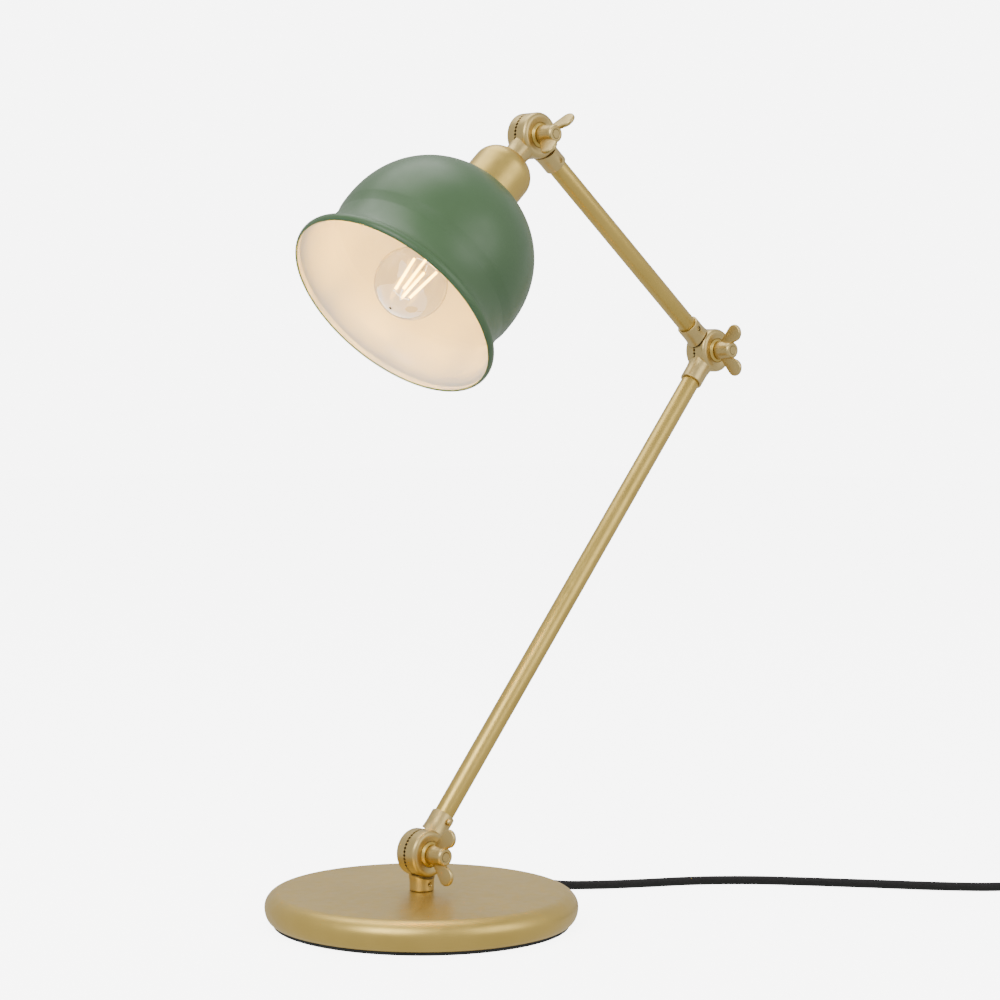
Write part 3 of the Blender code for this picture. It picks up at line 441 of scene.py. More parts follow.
TURNED_BRASS = brass("turned_brass", True)
CAST_BRASS = brass("cast_brass", False)
ZINC = plain_metal("zinc_plate", (0.5, 0.5, 0.47), (0.62, 0.61, 0.58), (0.28, 0.4))
NICKEL = plain_metal("nickel_plate", (0.62, 0.6, 0.56), (0.74, 0.72, 0.68), (0.16, 0.26))
IRON = plain_metal("grey_iron", (0.06, 0.06, 0.06), (0.14, 0.14, 0.13), (0.6, 0.8), 500.0)
FOAM = moulded("black_foam", (0.012, 0.012, 0.012), (0.03, 0.03, 0.03), (0.8, 0.95), 1500.0, 0.0003)
RUBBER = moulded("black_rubber", (0.014, 0.014, 0.014), (0.022, 0.022, 0.022), (0.5, 0.62), 2400.0, 0.00005)
PLASTIC = moulded("black_plastic", (0.014, 0.014, 0.014), (0.02, 0.02, 0.02), (0.34, 0.44), 2000.0, 0.00004)
PHENOLIC = moulded("black_phenolic", (0.02, 0.018, 0.016), (0.03, 0.027, 0.024), (0.22, 0.3), 1200.0, 0.00003)
CERAMIC = moulded("white_ceramic", (0.78, 0.77, 0.72), (0.86, 0.85, 0.81), (0.18, 0.26), 300.0, 0.00003)
BRAID = braid("black_braid")
GREEN = paint("reed_green", (0.055, 0.115, 0.045), (0.065, 0.13, 0.053), (0.33, 0.41))
WHITE = paint("white_enamel", (0.80, 0.79, 0.76), (0.86, 0.85, 0.82), (0.12, 0.2))
GLASS = clear_glass("clear_glass")
LIT = lit_filament("lit_filament")


# Cord

CORD_RADIUS = 3 * MM
EXIT_TURN = math.radians(7)
EXIT_WAY = np.array([math.cos(EXIT_TURN), math.sin(EXIT_TURN), 0.0])
EXIT_HEIGHT = 8.5
EXIT = EXIT_WAY * 100 * MM + UP * EXIT_HEIGHT * MM
PATH_SPACING = 0.6 * MM
CORD_SIDES = 32
LEAD_ROUTE = [
    (116.42, 14.30, 8.40), (124.0, 14.9, 7.3), (133.0, 13.6, 5.0), (144.7, 8.7, 3.6), (167.0, -4.9, 3.1),
    (191.1, -18.8, 3.1), (212.5, -30.0, 3.1), (233.5, -44.2, 3.1), (255.0, -63.5, 3.1),
    (274.7, -86.6, 3.1), (291.0, -107.0, 3.1), (306.5, -126.6, 3.1), (322.0, -147.0, 3.1),
    (337.5, -165.5, 3.1), (354.5, -182.5, 3.1), (371.0, -193.5, 3.3), (388.0, -196.5, 4.0),
    (404.0, -190.0, 5.5), (414.3, -180.4, 8.0), (419.8, -174.6, 8.3),
]
SWITCH_CENTRE = np.array([440.46, -152.85, 0.0]) * MM
SWITCH_TURN = math.radians(46.5)
SWITCH_WAY = np.array([math.cos(SWITCH_TURN), math.sin(SWITCH_TURN), 0.0])
SWITCH_SEAM = 8.3 * MM
CORD_IN_SWITCH = 20.3
LINK_ROUTE = [(460.7, -131.6, 8.3), (466.9, -125.1, 7.4), (473.1, -118.5, 5.2)]
COIL_CENTRE = np.array([520.3, -136.6, 0.0]) * MM
COIL_RADII = (41.65, 35.5, 29.35)
COIL_HEIGHTS = (3.9, 10.0)
TAIL_ROUTE = [(530.9, -184.2, 8.6), (528.1, -187.0, 8.1), (524.5, -190.5, 7.4), (521.2, -193.6, 7.1)]
PLUG_CENTRE = np.array([502.9, -211.3, 0.0]) * MM
PLUG_TURN = math.radians(224)
PLUG_WAY = np.array([math.cos(PLUG_TURN), math.sin(PLUG_TURN), 0.0])
PLUG_MIDDLE = 7.05 * MM


def coil_path():
    """The coil's centreline, every 7.5 degrees: three turns in on the lower layer, a climb, and three out
    on the upper one. Radius and height follow the angle, with smooth steps between neighbouring turns."""
    outer, middle, inner = COIL_RADII
    low, high = COIL_HEIGHTS
    stops = [149, 69, -211, -291, -571, -651, -883, -948, -1203, -1283, -1563, -1643, -1848]
    radii = [47.2, outer, outer, middle, middle, inner, inner, inner, inner, middle, middle, outer, outer]
    heights = [low, low, low, low, low, low, low, high, high, high, high, high, high]
    turn = np.arange(stops[0], stops[-1] - 0.1, -7.5)
    step = np.clip(np.searchsorted(-np.array(stops), -turn, side="right") - 1, 0, len(stops) - 2)
    start, end = np.array(stops)[step], np.array(stops)[step + 1]
    share = (turn - start) / (end - start)
    blend = share * share * (3 - 2 * share)
    radius = np.array(radii)[step] * (1 - blend) + np.array(radii)[step + 1] * blend
    height = np.array(heights)[step] * (1 - blend) + np.array(heights)[step + 1] * blend
    a = np.radians(turn)
    return np.stack([radius * np.cos(a), radius * np.sin(a), height], axis=1) * MM + COIL_CENTRE


def weave(angle, walked):
    """Diamonds of yarn: |sin| of one diagonal times |sin| of the other, eight round the cord."""
    across, along = 4 * angle, walked * math.pi / (3.0 * MM)
    return 0.16 * MM * (np.abs(np.sin(across + along) * np.sin(across - along)) - 0.7)


def make_cords():
    """The cord from the base to the switch, and from the switch through its coil to the plug."""
    lead = [EXIT, EXIT + EXIT_WAY * 8 * MM] + [np.array(p) * MM for p in LEAD_ROUTE]
    lead.append(SWITCH_CENTRE - SWITCH_WAY * CORD_IN_SWITCH * MM + UP * SWITCH_SEAM)
    near_path = spline(lead, PATH_SPACING)
    near = solid("power_cord", tube(near_path, CORD_RADIUS, CORD_SIDES, weave))
    finished(near, BRAID, "stand", "black_braid", "cord_lead")

    far = [SWITCH_CENTRE + SWITCH_WAY * CORD_IN_SWITCH * MM + UP * SWITCH_SEAM]
    far += [np.array(p) * MM for p in LINK_ROUTE] + list(coil_path())
    far += [np.array(p) * MM for p in TAIL_ROUTE]
    far.append(PLUG_CENTRE - PLUG_WAY * 24 * MM + UP * PLUG_MIDDLE)
    far_path = spline(far, PATH_SPACING)
    rest = solid("coiled_cord", tube(far_path, CORD_RADIUS, CORD_SIDES, weave))
    finished(rest, BRAID, "stand", "black_braid", "cord_link", "cord_coil", "cord_tail")
    return near, near_path, rest, far_path


def make_tie():
    """A strap round the coil: a flat band whose path hugs the bundle's square section."""
    turn = math.radians(40)
    outward = np.array([math.cos(turn), math.sin(turn), 0.0])
    forward = np.array([-math.sin(turn), math.cos(turn), 0.0])
    middle = COIL_CENTRE + outward * COIL_RADII[1] * MM + UP * 6.95 * MM
    loop = eased([(-9.6, -6.3), (9.6, -6.3), (9.6, 6.6), (-9.6, 6.6)], 3.2, 12) * MM
    loop = np.vstack([loop[-6:], loop[:-6]])
    step = np.roll(loop, 1, 0) - np.roll(loop, -1, 0)
    normal = unit_rows(np.stack([-step[:, 1], step[:, 0]], axis=1))
    section = eased([(0, -5), (0.32, -5), (0.32, 5), (0, 5)], 0.12, 3) * MM
    lift, along = section[:, 0][None, :, None], section[:, 1][None, :, None]
    flat = loop[:, None] - normal[:, None] * lift
    points = middle + flat[..., 0:1] * outward + flat[..., 1:2] * UP + along * forward
    tie = solid("cord_tie", points, wrap_rows=True)
    return finished(tie, FOAM, "stand", "black_braid")


def unit_rows(vectors):
    """Each row divided by its own length, where it has one."""
    return vectors / np.maximum(np.linalg.norm(vectors, axis=1), 1e-12)[:, None]


def make_relief():
    """The tapered rubber sleeve at the cord's exit, with a collar and five rings, and the cord inside
    the base."""
    place = place_along(UP * EXIT_HEIGHT * MM, EXIT_WAY)
    profile = [(3.3, 92), (5.6, 92), (5.6, 94.6), (4.6, 94.6), (4.6, 100.3), (5.9, 100.3), (5.9, 102.2)]
    for ring in range(5):
        start = 102.9 + ring * 2.4
        outer = 4.9 - ring * 0.17
        groove = outer - 0.55
        profile += [(outer, start), (outer, start + 1.3), (groove, start + 1.4), (groove, start + 2.3)]
    profile += [(4.0, 115.2), (3.75, 117), (3.3, 117)]
    relief = solid("strain_relief_sleeve", lathe(eased(profile, 0.25, 3) * MM, 48, place), wrap_rows=True)
    finished(relief, RUBBER, "stand", "black_rubber", "strain_relief")
    core = np.array([(0, 13), (3, 13), (3, 99.9), (0, 99.9)]) * MM
    flex = solid("base_inner_cord", lathe(core, CORD_SIDES, place))
    finished(flex, BRAID, "stand", "black_braid", "base_flex")


def oval(half_length, half_width, corner, count=9):
    """A rounded rectangle, anticlockwise."""
    x, y = half_length - corner, half_width - corner
    corners = [((x, y), 0), ((-x, y), 90), ((-x, -y), 180), ((x, -y), 270)]
    return np.vstack([bow(centre, (corner, corner), start, start + 90, count) for centre, start in corners])


def make_switch():
    """Two moulded halves closed on the cord, and a rocker in the upper one's window."""
    place = np.eye(4)
    place[:3, 0], place[:3, 1], place[:3, 3] = SWITCH_WAY, np.cross(UP, SWITCH_WAY), SWITCH_CENTRE
    outline = oval(29, 10, 6.5, 12) * MM
    lower = [
        (1.2 * MM, 0.2 * MM), (0.35 * MM, 0.55 * MM), (0, 1.4 * MM), (0, 7.9 * MM), (0.25 * MM, 8.15 * MM),
    ]
    upper = [(0.25 * MM, 8.45 * MM), (0, 8.7 * MM), (0.15 * MM, 12.5 * MM)]
    crown = np.radians(np.linspace(0, 90, 8))
    upper += [
        (0.15 * MM + 4.2 * MM * (1 - math.cos(a)), 12.5 * MM + 4.3 * MM * math.sin(a)) for a in crown[1:]
    ]
    base = solid("switch_lower_half", slab(outline, lower, place))
    cover = solid("switch_upper_half", slab(outline, upper, place))
    window = solid("window", slab(oval(8.2, 4.5, 1.2, 5) * MM, [(0, 8.6 * MM), (0, 30 * MM)], place))
    carved(cover, [("DIFFERENCE", window)])
    for part in (base, cover):
        ways = []
        for sign in (1, -1):
            hole = lathe(np.array([(0, 20), (3.3, 20), (3.3, 31), (0, 31)]) * MM, 40, place_along(
                SWITCH_CENTRE + UP * SWITCH_SEAM, sign * SWITCH_WAY))
            ways.append(("DIFFERENCE", solid("cord_way", hole)))
        carved(part, ways)
    finished(base, PLASTIC, "stand", "black_plastic", "switch_base")
    finished(cover, PLASTIC, "stand", "black_plastic", "switch_cover")

    tilt = math.radians(7)
    beam = np.eye(4)
    x = SWITCH_WAY * math.cos(tilt) - UP * math.sin(tilt)
    z = np.cross(x, UP) / np.linalg.norm(np.cross(x, UP))
    beam[:3, 0], beam[:3, 1], beam[:3, 2] = x, np.cross(z, x), z
    beam[:3, 3] = SWITCH_CENTRE + UP * 12 * MM
    top = [(7 - 14 * k / 12, 4.9 - 1.3 * math.cos(math.pi / 2 * (7 - 14 * k / 12) / 7)) for k in range(13)]
    side = eased([(-7, -1.5), (7, -1.5)] + top, 0.5, 3) * MM
    rocker = solid("rocker_button", slab(side, rounded_levels(-4.2 * MM, 4.2 * MM, 0.5 * MM), beam))
    finished(rocker, RUBBER, "rocker", "black_rubber", "switch_rocker")
    return base, cover, rocker


def make_plug():
    """A flat two-pin plug: stations (x, half width, half height) joined by rounded sections, and two pins."""
    stations = np.array([
        (-25, 0, 0), (-25, 3.9, 3.9), (-24.7, 4.3, 4.3), (-22.4, 4.35, 4.3), (-22.2, 3.9, 3.9),
        (-21.4, 3.9, 3.9), (-21.2, 4.5, 4.4), (-18.9, 4.6, 4.5), (-18.7, 4.0, 4.0), (-17.9, 4.0, 4.0),
        (-17.7, 4.8, 4.6),
        (-14.5, 5.1, 4.9), (-11, 6.2, 5.6), (-7, 8.6, 6.4), (-3, 11.2, 6.75), (1, 12.7, 6.8), (6, 13, 6.8),
        (20, 13, 6.8), (23.4, 13, 6.8), (24.5, 12.7, 6.5), (25, 12, 5.8), (25, 0, 0),
    ]) * MM
    angle = np.linspace(0, math.tau, 64, endpoint=False)[None, :]
    power = np.clip((stations[:, 0:1] + 20 * MM) / (24 * MM), 0, 1) * 0.45
    wide, tall = np.abs(np.cos(angle)) ** (1 - power), np.abs(np.sin(angle)) ** (1 - power)
    points = stations[:, None, 0:1] * PLUG_WAY + UP * PLUG_MIDDLE + PLUG_CENTRE
    across = np.cross(UP, PLUG_WAY)
    points = points + (stations[:, 1:2] * np.sign(np.cos(angle)) * wide)[..., None] * across
    points = points + (stations[:, 2:3] * np.sign(np.sin(angle)) * tall)[..., None] * UP
    plug = solid("plug_moulding", points, sharp=28)
    finished(plug, RUBBER, "stand", "black_rubber", "plug_body")
    pins = []
    corners = [(0, 0), (1.9, 0), (1.9, 10), (2.0, 10.1), (2.0, 17.6), (1.0, 19), (0, 19)]
    profile = eased(corners, 0.25, 4) * MM
    for name, sign in (("plug_pin_left", 1), ("plug_pin_right", -1)):
        foot_spot = PLUG_CENTRE + PLUG_WAY * 25.3 * MM + across * sign * 9 * MM + UP * PLUG_MIDDLE
        place = place_along(foot_spot, PLUG_WAY)
        pin = solid(name.replace("pin", "contact_pin"), lathe(profile, 32, place))
        pins.append(finished(pin, NICKEL, "stand", "steel", name))
    return [plug] + pins


near_cord, near_path, far_cord, far_path = make_cords()
tie = make_tie()
make_relief()
switch_pieces = make_switch()
plug_pieces = make_plug()


# Base

def make_base():
    """The turned shell: a flat top, the quarter ellipse (90 + 10 cos t, 11.5 + 9.5 sin t), and below it
    (94 + 6 cos t, 11.5 + 9.5 sin t) down to its foot. A foam pad lies under it."""
    place = np.eye(4)
    outer = np.vstack([
        [(5.3, 21), (40, 21), (80, 21)],
        bow((90, 11.5), (10, 9.5), 90, 0, 24), bow((94, 11.5), (6, 9.5), -5, -75, 14),
    ])
    inner = np.vstack([
        bow((94, 11.5), (4.5, 8), -75, -5, 10), bow((90, 11.5), (8.5, 8), 0, 90, 14),
        [(80, 19.5), (5.3, 19.5)],
    ])
    shell = solid("base_cover", lathe(np.vstack([outer, inner]) * MM, 256, place), wrap_rows=True)
    way_out = place_along(UP * EXIT_HEIGHT * MM, EXIT_WAY)
    hole = lathe(np.array([(0, 86), (4.9, 86), (4.9, 103), (0, 103)]) * MM, 40, way_out)
    carved(shell, [("DIFFERENCE", solid("exit_hole", hole))])
    finished(shell, TURNED_BRASS, "stand", "satin_brass", "base_shell")
    pad_profile = eased([(0, 0), (94.6, 0), (94.6, 2.2), (0, 2.2)], 0.4, 5) * MM
    pad = solid("base_foam_pad", lathe(pad_profile, 192, place))
    finished(pad, FOAM, "stand", "pad", "base_pad")


# Knuckles

TOOTH_COUNT = 40
TOOTH_DEPTH = 1.15 * MM


def teeth(radius, height, angle):
    """V grooves on the seam face: a point there rises by depth (r / R) |saw(count a)|."""
    saw = np.abs((angle * TOOTH_COUNT / math.tau) % 1.0 * 2 - 1)
    on_seam = (height < 0.31 * MM) & (radius > 9.4 * MM)
    return radius, height + on_seam * TOOTH_DEPTH * saw * radius / (15 * MM)


def hexed(radius, height, angle):
    """A six-sided socket: inside 1.2 mm the radius follows r cos 30 / cos(a mod 60 - 30)."""
    edge = math.cos(math.pi / 6) / np.cos(angle % (math.pi / 3) - math.pi / 6)
    return np.where((radius > 0) & (radius < 1.2 * MM), radius * edge, radius), height


def make_half(name, node, body, pivot, side, way, length, bore, screw_side, stud):
    """Half a knuckle: a disc with radial teeth, joined to a collar that is scooped clear of the other half.
    The collar's screw is on screw_side: sunk, or with a domed head outside it where stud is true."""
    seam = place_along(pivot, side * ACROSS, np.array([1.0, 0, 0]))
    rim = bow((12, 6.2), (3, 3), 0, 90, 10)
    profile = np.vstack([
        [(3.3, 0.1), (5.5, 0.1), (5.5, 5.0), (9.5, 5.0), (9.5, 0.1)],
        [(11.5, 0.1), (13.5, 0.1), (15, 0.1), (15, 1.7)], rim,
        [(11.3, 9.15), (10.5, 9.0), (9.7, 8.85), (9.0, 8.75)],
        [(8.55, 8.65), (8.4, 8.4), (8.4, 8.2), (3.3, 8.2)],
    ]) * MM
    disc = solid(name, lathe(profile, 240, seam, teeth), wrap_rows=True)
    along = place_along(pivot, way)
    foot_blend = [(0, 9.4), (8.9, 9.4), (8.75, 12), (8.3, 15), (7.95, 17.5), (7.8, 20)]
    outline = eased(foot_blend + [(7.8, length), (0, length)], 0.55, 5) * MM
    collar = solid("collar", lathe(outline, 72, along))
    scoop = solid("scoop", lathe(np.array([(0, -12), (16.3, -12), (16.3, 0.6), (0, 0.6)]) * MM, 120, seam))
    carved(collar, [("DIFFERENCE", scoop)])
    inside = np.array([(0, 17.5), (bore, 17.5), (bore, length + 1), (0, length + 1)]) * MM
    socket = solid("socket", lathe(inside, 72, along))
    screw_place = place_along(pivot + way * (length - 4.3) * MM, screw_side * ACROSS)
    funnel = np.array([(0, 3), (1.7, 3), (1.7, 7.5), (1.9, 7.8), (1.9, 9), (0, 9)]) * MM
    hole = solid("hole", lathe(funnel, 32, screw_place))
    carved(disc, [("UNION", collar), ("DIFFERENCE", socket), ("DIFFERENCE", hole)], sharp=38)
    finished(disc, CAST_BRASS, body, "satin_brass", node)

    tip = 7.2 if bore > 6 else 6.9
    floor = bore + 0.15
    screw_profile = [(0, bore), (1.6, bore), (1.6, tip), (1.0, tip), (1.0, floor), (0, floor)]
    if stud:
        screw_profile = [(0, bore), (1.6, bore), (1.6, 7.9), (2.1, 8.3), (2.25, 9.3), (1.7, 10.3)]
        screw_profile.append((0, 10.7))
    screw = solid(name + "_screw", lathe(eased(screw_profile, 0.2, 4) * MM, 48, screw_place, hexed))
    finished(screw, CAST_BRASS, body, "steel", node + "_grub_screw")


def thread(radius, height, angle):
    """A screw thread: the radius falls by d |saw(h / pitch - a / 2 pi)| where the shank is bare."""
    saw = np.abs((height / (0.7 * MM) - angle / math.tau) % 1.0 * 2 - 1)
    bare = (radius > 2.9 * MM) & (radius < 3.1 * MM)
    return radius - bare * 0.3 * MM * saw, height


def make_hardware(name, body, washer_body, pivot, turn):
    """A bolt with its domed head on the far side, a washer, and a wing nut with two round wings."""
    near = place_along(pivot, -ACROSS, np.array([1.0, 0, 0]))
    head = bow((0, -8.7), (7.2, 2.6), 270, 360, 12)
    shank = [(3.0, z) for z in np.arange(-7.9, 21.9, 0.14)]
    profile = np.vstack([head, [(7.2, -7.9)], shank, [(2.98, 22.7), (2.85, 22.9), (0, 22.9)]]) * MM
    bolt = solid(name + "_threaded_bolt", lathe(profile, 48, near, thread))
    finished(bolt, CAST_BRASS, body, "satin_brass", name + "_bolt")
    ring = eased([(3.3, 8.5), (8.33, 8.5), (8.2, 8.9), (7.5, 9.6), (7.1, 10.2), (3.3, 10.2)], 0.35, 5) * MM
    washer = solid(name + "_flat_washer", lathe(ring, 96, near), wrap_rows=True)
    finished(washer, TURNED_BRASS, washer_body, "satin_brass", name + "_washer")

    hub_profile = [
        (3.05, 10.35), (6.1, 10.35), (6.45, 11.2), (6.4, 13), (6.0, 16), (5.85, 19), (5.9, 21.6), (5.1, 23),
        (3.05, 23),
    ]
    hub = solid(name + "_nut", lathe(eased(hub_profile, 0.45, 5) * MM, 72, near), wrap_rows=True)
    up = np.array([math.sin(turn), 0, math.cos(turn)])
    lobe = bow((12, 24.3), (5.9, 5.9), -48, 168, 40)
    inner = np.linspace((6.4, 12.2), lobe[0], 12)[:-1]
    outline = np.vstack([[(4.4, 20.9), (4.4, 17.2), (4.4, 13.0)], inner, lobe]) * MM
    levels = rounded_levels(-1.4 * MM, 1.4 * MM, 1.15 * MM, 6)
    wings = []
    for sign in (1, -1):
        place = np.eye(4)
        place[:3, 0], place[:3, 1] = sign * up, -ACROSS
        place[:3, 2], place[:3, 3] = np.cross(sign * up, -ACROSS), pivot
        wings.append(("UNION", solid("wing", slab(outline, levels, place))))
    carved(hub, wings, sharp=38)
    finished(hub, CAST_BRASS, name + "_nut", "satin_brass", name + "_wing_nut")


TUBE_START = 17.8


def make_arm(name, start, end):
    """A tube between two collars, from 17.8 mm past one pivot to 17.8 mm before the other."""
    length = np.linalg.norm(end - start) / MM
    place = place_along(start, end - start)
    stop = length - TUBE_START
    profile = eased([(5.35, TUBE_START), (6.35, TUBE_START), (6.35, stop), (5.35, stop)], 0.2, 3) * MM
    arm = solid(name + "_brass_tube", lathe(profile, 96, place), wrap_rows=True)
    finished(arm, TURNED_BRASS, name, "satin_brass", name + "_tube")


# Head

RIM = 167.0
DOME_RADIUS, DOME_INSIDE = 65.4, 64.2
DOME_CENTRE = 44
DOME_POWER = 2.12
DOME_FOOT = 36
CUP_START, CUP_RADIUS, CUP_INSIDE, CUP_SHOULDER = 24.8, 20.25, 19.05, 13
GLOBE_RADIUS, GLOBE_CENTRE = 22.5, 144
NECK_RADIUS, NECK_FOOT = 12.3, 114.6
GLASS_WALL = 0.8 * MM
FILAMENT_LOW, FILAMENT_HIGH = (8.6, 0, 126.0), (5.2, 0, 155.0)


def wall(outline, thickness):
    """The outline moved in by a wall's thickness along its own normals."""
    along = unit_rows(np.gradient(outline, axis=0))
    return outline - np.stack([-along[:, 1], along[:, 0]], axis=1) * thickness


def dome_rise(across, radius):
    """The dome's height over its centre: (R^n - x^n)^(1/n), a ball slightly squared."""
    return (radius**DOME_POWER - across**DOME_POWER) ** (1 / DOME_POWER)


def shade_outline():
    """From the hole at the top to the lip: a dome, a shallow neck, the flare and the rolled lip, as
    (radius, distance from the pivot along the head)."""
    top = math.asin(dome_rise(17.9, DOME_RADIUS) / DOME_RADIUS)
    foot_turn = math.asin((DOME_FOOT - DOME_CENTRE) / DOME_RADIUS)
    rises = DOME_RADIUS * np.sin(np.linspace(top, foot_turn, 60))
    dome = np.stack([dome_rise(np.abs(rises), DOME_RADIUS), DOME_CENTRE + rises], axis=1)
    flare = bow((72.6, 32), (8.9, 26), 180, 262, 24)[1:]
    lip = bow((71.2, 3.2), (2.2, 3.2), 50, -80, 12)
    outline = np.vstack([dome, flare, lip])
    outline[:, 1] = RIM - outline[:, 1]
    return outline * MM


def make_shade(place):
    """A spun shade, green outside and white inside: two closed walls, 1 mm and 0.2 mm thick."""
    outer = shade_outline()
    middle, inner, lining = wall(outer, -1.0 * MM), wall(outer, -1.02 * MM), wall(outer, -1.2 * MM)
    shell = solid("shade_shell", lathe(np.vstack([outer, middle[::-1]]), 240, place), wrap_rows=True)
    finished(shell, GREEN, "head", "green_enamel", "shade")
    coat = solid("shade_lining", lathe(np.vstack([inner, lining[::-1]]), 240, place), wrap_rows=True)
    finished(coat, WHITE, "head", "white_enamel")


def make_cup(place):
    """The brass cup: a drawn cap, 40.5 mm across, whose shoulder is a quarter round of 13 mm."""
    rim = RIM - DOME_CENTRE - dome_rise(CUP_INSIDE, DOME_RADIUS) - 0.3
    centre = (7.25, CUP_START + CUP_SHOULDER)
    outside = np.vstack([
        [(5.3, CUP_START), (6.4, CUP_START)], bow(centre, (CUP_SHOULDER, CUP_SHOULDER), -88, 0, 24),
        [(CUP_RADIUS, rim)],
    ])
    inside = np.vstack([[(CUP_INSIDE, rim)], bow(centre, (11.8, 11.8), 0, -88, 16), [(5.3, CUP_START + 1.2)]])
    cup = solid("shade_cap_cup", lathe(np.vstack([outside, inside]) * MM, 128, place), wrap_rows=True)
    finished(cup, TURNED_BRASS, "head", "satin_brass", "shade_cup")


def coarse_thread(low, high, pitch, depth, radius):
    """A ripple for the rows whose radius is near the given one: r + d cos(2 pi h / pitch - a)."""
    def ripple(r, h, angle):
        wave = np.cos(math.tau * h / (pitch * MM) - angle)
        fade = np.clip((h - low * MM) / MM, 0, 1) * np.clip((high * MM - h) / MM, 0, 1)
        return r + (np.abs(r - radius * MM) < 0.45 * MM) * fade * depth * MM * (wave - 1) / 2, h
    return ripple


def make_holder(place):
    """The lampholder's skirt with its outer thread, the ribbed ring that clamps the shade, and the
    threaded shell that takes the bulb."""
    outer = [(17.5, z) for z in np.arange(57.2, 97, 0.5)]
    mouth = [(17.5, 98), (17.5, 110.4), (17.0, 111), (15.0, 111)]
    profile = np.vstack([[(15.0, 56.3), (17.0, 56.3)], outer, mouth]) * MM
    turned = lathe(profile, 96, place, coarse_thread(57, 96.5, 2.6, 0.7, 17.5))
    skirt = solid("holder_skirt", turned, wrap_rows=True)
    finished(skirt, PHENOLIC, "head", "phenolic", "lampholder_skirt")
    start = RIM - DOME_CENTRE - dome_rise(21.5, DOME_INSIDE) + 0.3

    def ribs(r, h, angle):
        """Ribs round the ring: r + d cos(36 a) on its outer side."""
        return r + (r > 21.0 * MM) * 0.35 * MM * (np.cos(36 * angle) - 1), h

    ring_profile = eased([(17.8, start), (21.5, start), (21.5, start + 5), (17.8, start + 5)], 0.5, 4) * MM
    ring = solid("shade_ring_nut", lathe(ring_profile, 288, place, ribs), wrap_rows=True)
    finished(ring, PHENOLIC, "head", "phenolic", "shade_clamp_ring")
    inner = [(13.4, z) for z in np.arange(109.4, 82.6, -0.5)]
    shell_profile = np.vstack([[(14.7, 82), (14.7, 110)], [(13.4, 110)], inner, [(13.4, 82)]]) * MM
    turns = lathe(shell_profile, 72, place, coarse_thread(83, 109, 3.63, -0.5, 13.4))
    shell = solid("holder_thread_shell", turns, wrap_rows=True)
    finished(shell, CAST_BRASS, "head", "satin_brass", "lampholder_thread")


def make_bulb(place):
    """A clear globe bulb: screw cap, glass with a smooth neck, stem, supports and four lit filaments."""
    side = [(13.1, z) for z in np.arange(91.5, 112.4, 0.4)]
    mouth = [(13.1, 113.4), (12.7, 114.3), (12.1, 114.3), (12.1, 92), (0, 92)]
    cap_profile = np.vstack([[(0, 89), (9.6, 89), (11.6, 89.8), (12.9, 91)], side, mouth]) * MM
    cap = solid("bulb_screw_cap", lathe(cap_profile, 96, place, coarse_thread(91.5, 111.5, 3.63, 1.1, 13.1)))
    finished(cap, NICKEL, "head", "nickel", "bulb_cap")

    a = np.radians(np.linspace(0, 133, 48))
    globe = np.stack([GLOBE_RADIUS * np.sin(a), GLOBE_CENTRE + GLOBE_RADIUS * np.cos(a)], axis=1)
    neck_z = np.linspace(globe[-1, 1], NECK_FOOT, 16)[1:]
    share = (globe[-1, 1] - neck_z) / (globe[-1, 1] - NECK_FOOT)
    neck_r = NECK_RADIUS + (globe[-1, 0] - NECK_RADIUS) * (1 - share) ** 2.2
    outer = np.vstack([globe, np.stack([neck_r, neck_z], axis=1)]) * MM
    inner = wall(outer, -GLASS_WALL)
    inner[0], inner[-1] = (0, outer[0, 1] - GLASS_WALL), (outer[-1, 0] - GLASS_WALL, outer[-1, 1])
    glass = solid("bulb_glass", lathe(np.vstack([outer, inner[::-1]]), 128, place))
    finished(glass, GLASS, "head", "glass", "bulb_globe")
    glass.visible_shadow = False

    stem_corners = [(0, 94), (6, 94), (5.4, 114), (3.0, 118), (1.7, 122), (1.5, 123.8), (0, 124)]
    stem = solid("bulb_glass_stem", lathe(eased(stem_corners, 0.8, 5) * MM, 48, place))
    finished(stem, GLASS, "head", "glass", "bulb_stem")
    stem.visible_shadow = False

    rods, wires = [], []
    post = eased([(0, 124.3), (0.5, 124.3), (0.5, 156.2), (0, 156.2)], 0.1, 3) * MM
    wires.append(lathe(post, 16, place))
    for index in range(4):
        turn = math.tau * (index + 0.5) / 4
        low, high = np.array(FILAMENT_LOW) * MM, np.array(FILAMENT_HIGH) * MM
        spin = np.array(Matrix.Rotation(turn, 4, "Z"))
        seat = place @ spin @ place_along(low, high - low)
        long = np.linalg.norm(high - low) / MM
        rod = eased([(0, 1.2), (0.9, 1.2), (0.9, long - 1.2), (0, long - 1.2)], 0.3, 4) * MM
        rods.append(lathe(rod, 20, seat))
        for start, end in ((0, 1.15), (long - 1.15, long)):
            band = eased([(0, start), (0.75, start), (0.75, end), (0, end)], 0.2, 3) * MM
            wires.append(lathe(band, 16, seat))
        feet = np.array([(0.3, 0, 124.6), (3.4, 0, 124.7), (6.6, 0, 125.3), (8.6, 0, 126.2)]) * MM
        tops = np.array([(0.3, 0, 155.8), (2.0, 0, 155.9), (3.8, 0, 155.6), (5.2, 0, 154.8)]) * MM
        for wire in (feet, tops):
            bent = spline(wire, 0.3 * MM)
            wires.append(tube_flat(moved(moved(bent, spin), place), 0.28 * MM))
    lit = joined("bulb_filaments", rods)
    finished(lit, LIT, "head", "filament", "filament_mount")
    finished(joined("filament_supports", wires), NICKEL, "head", "nickel")


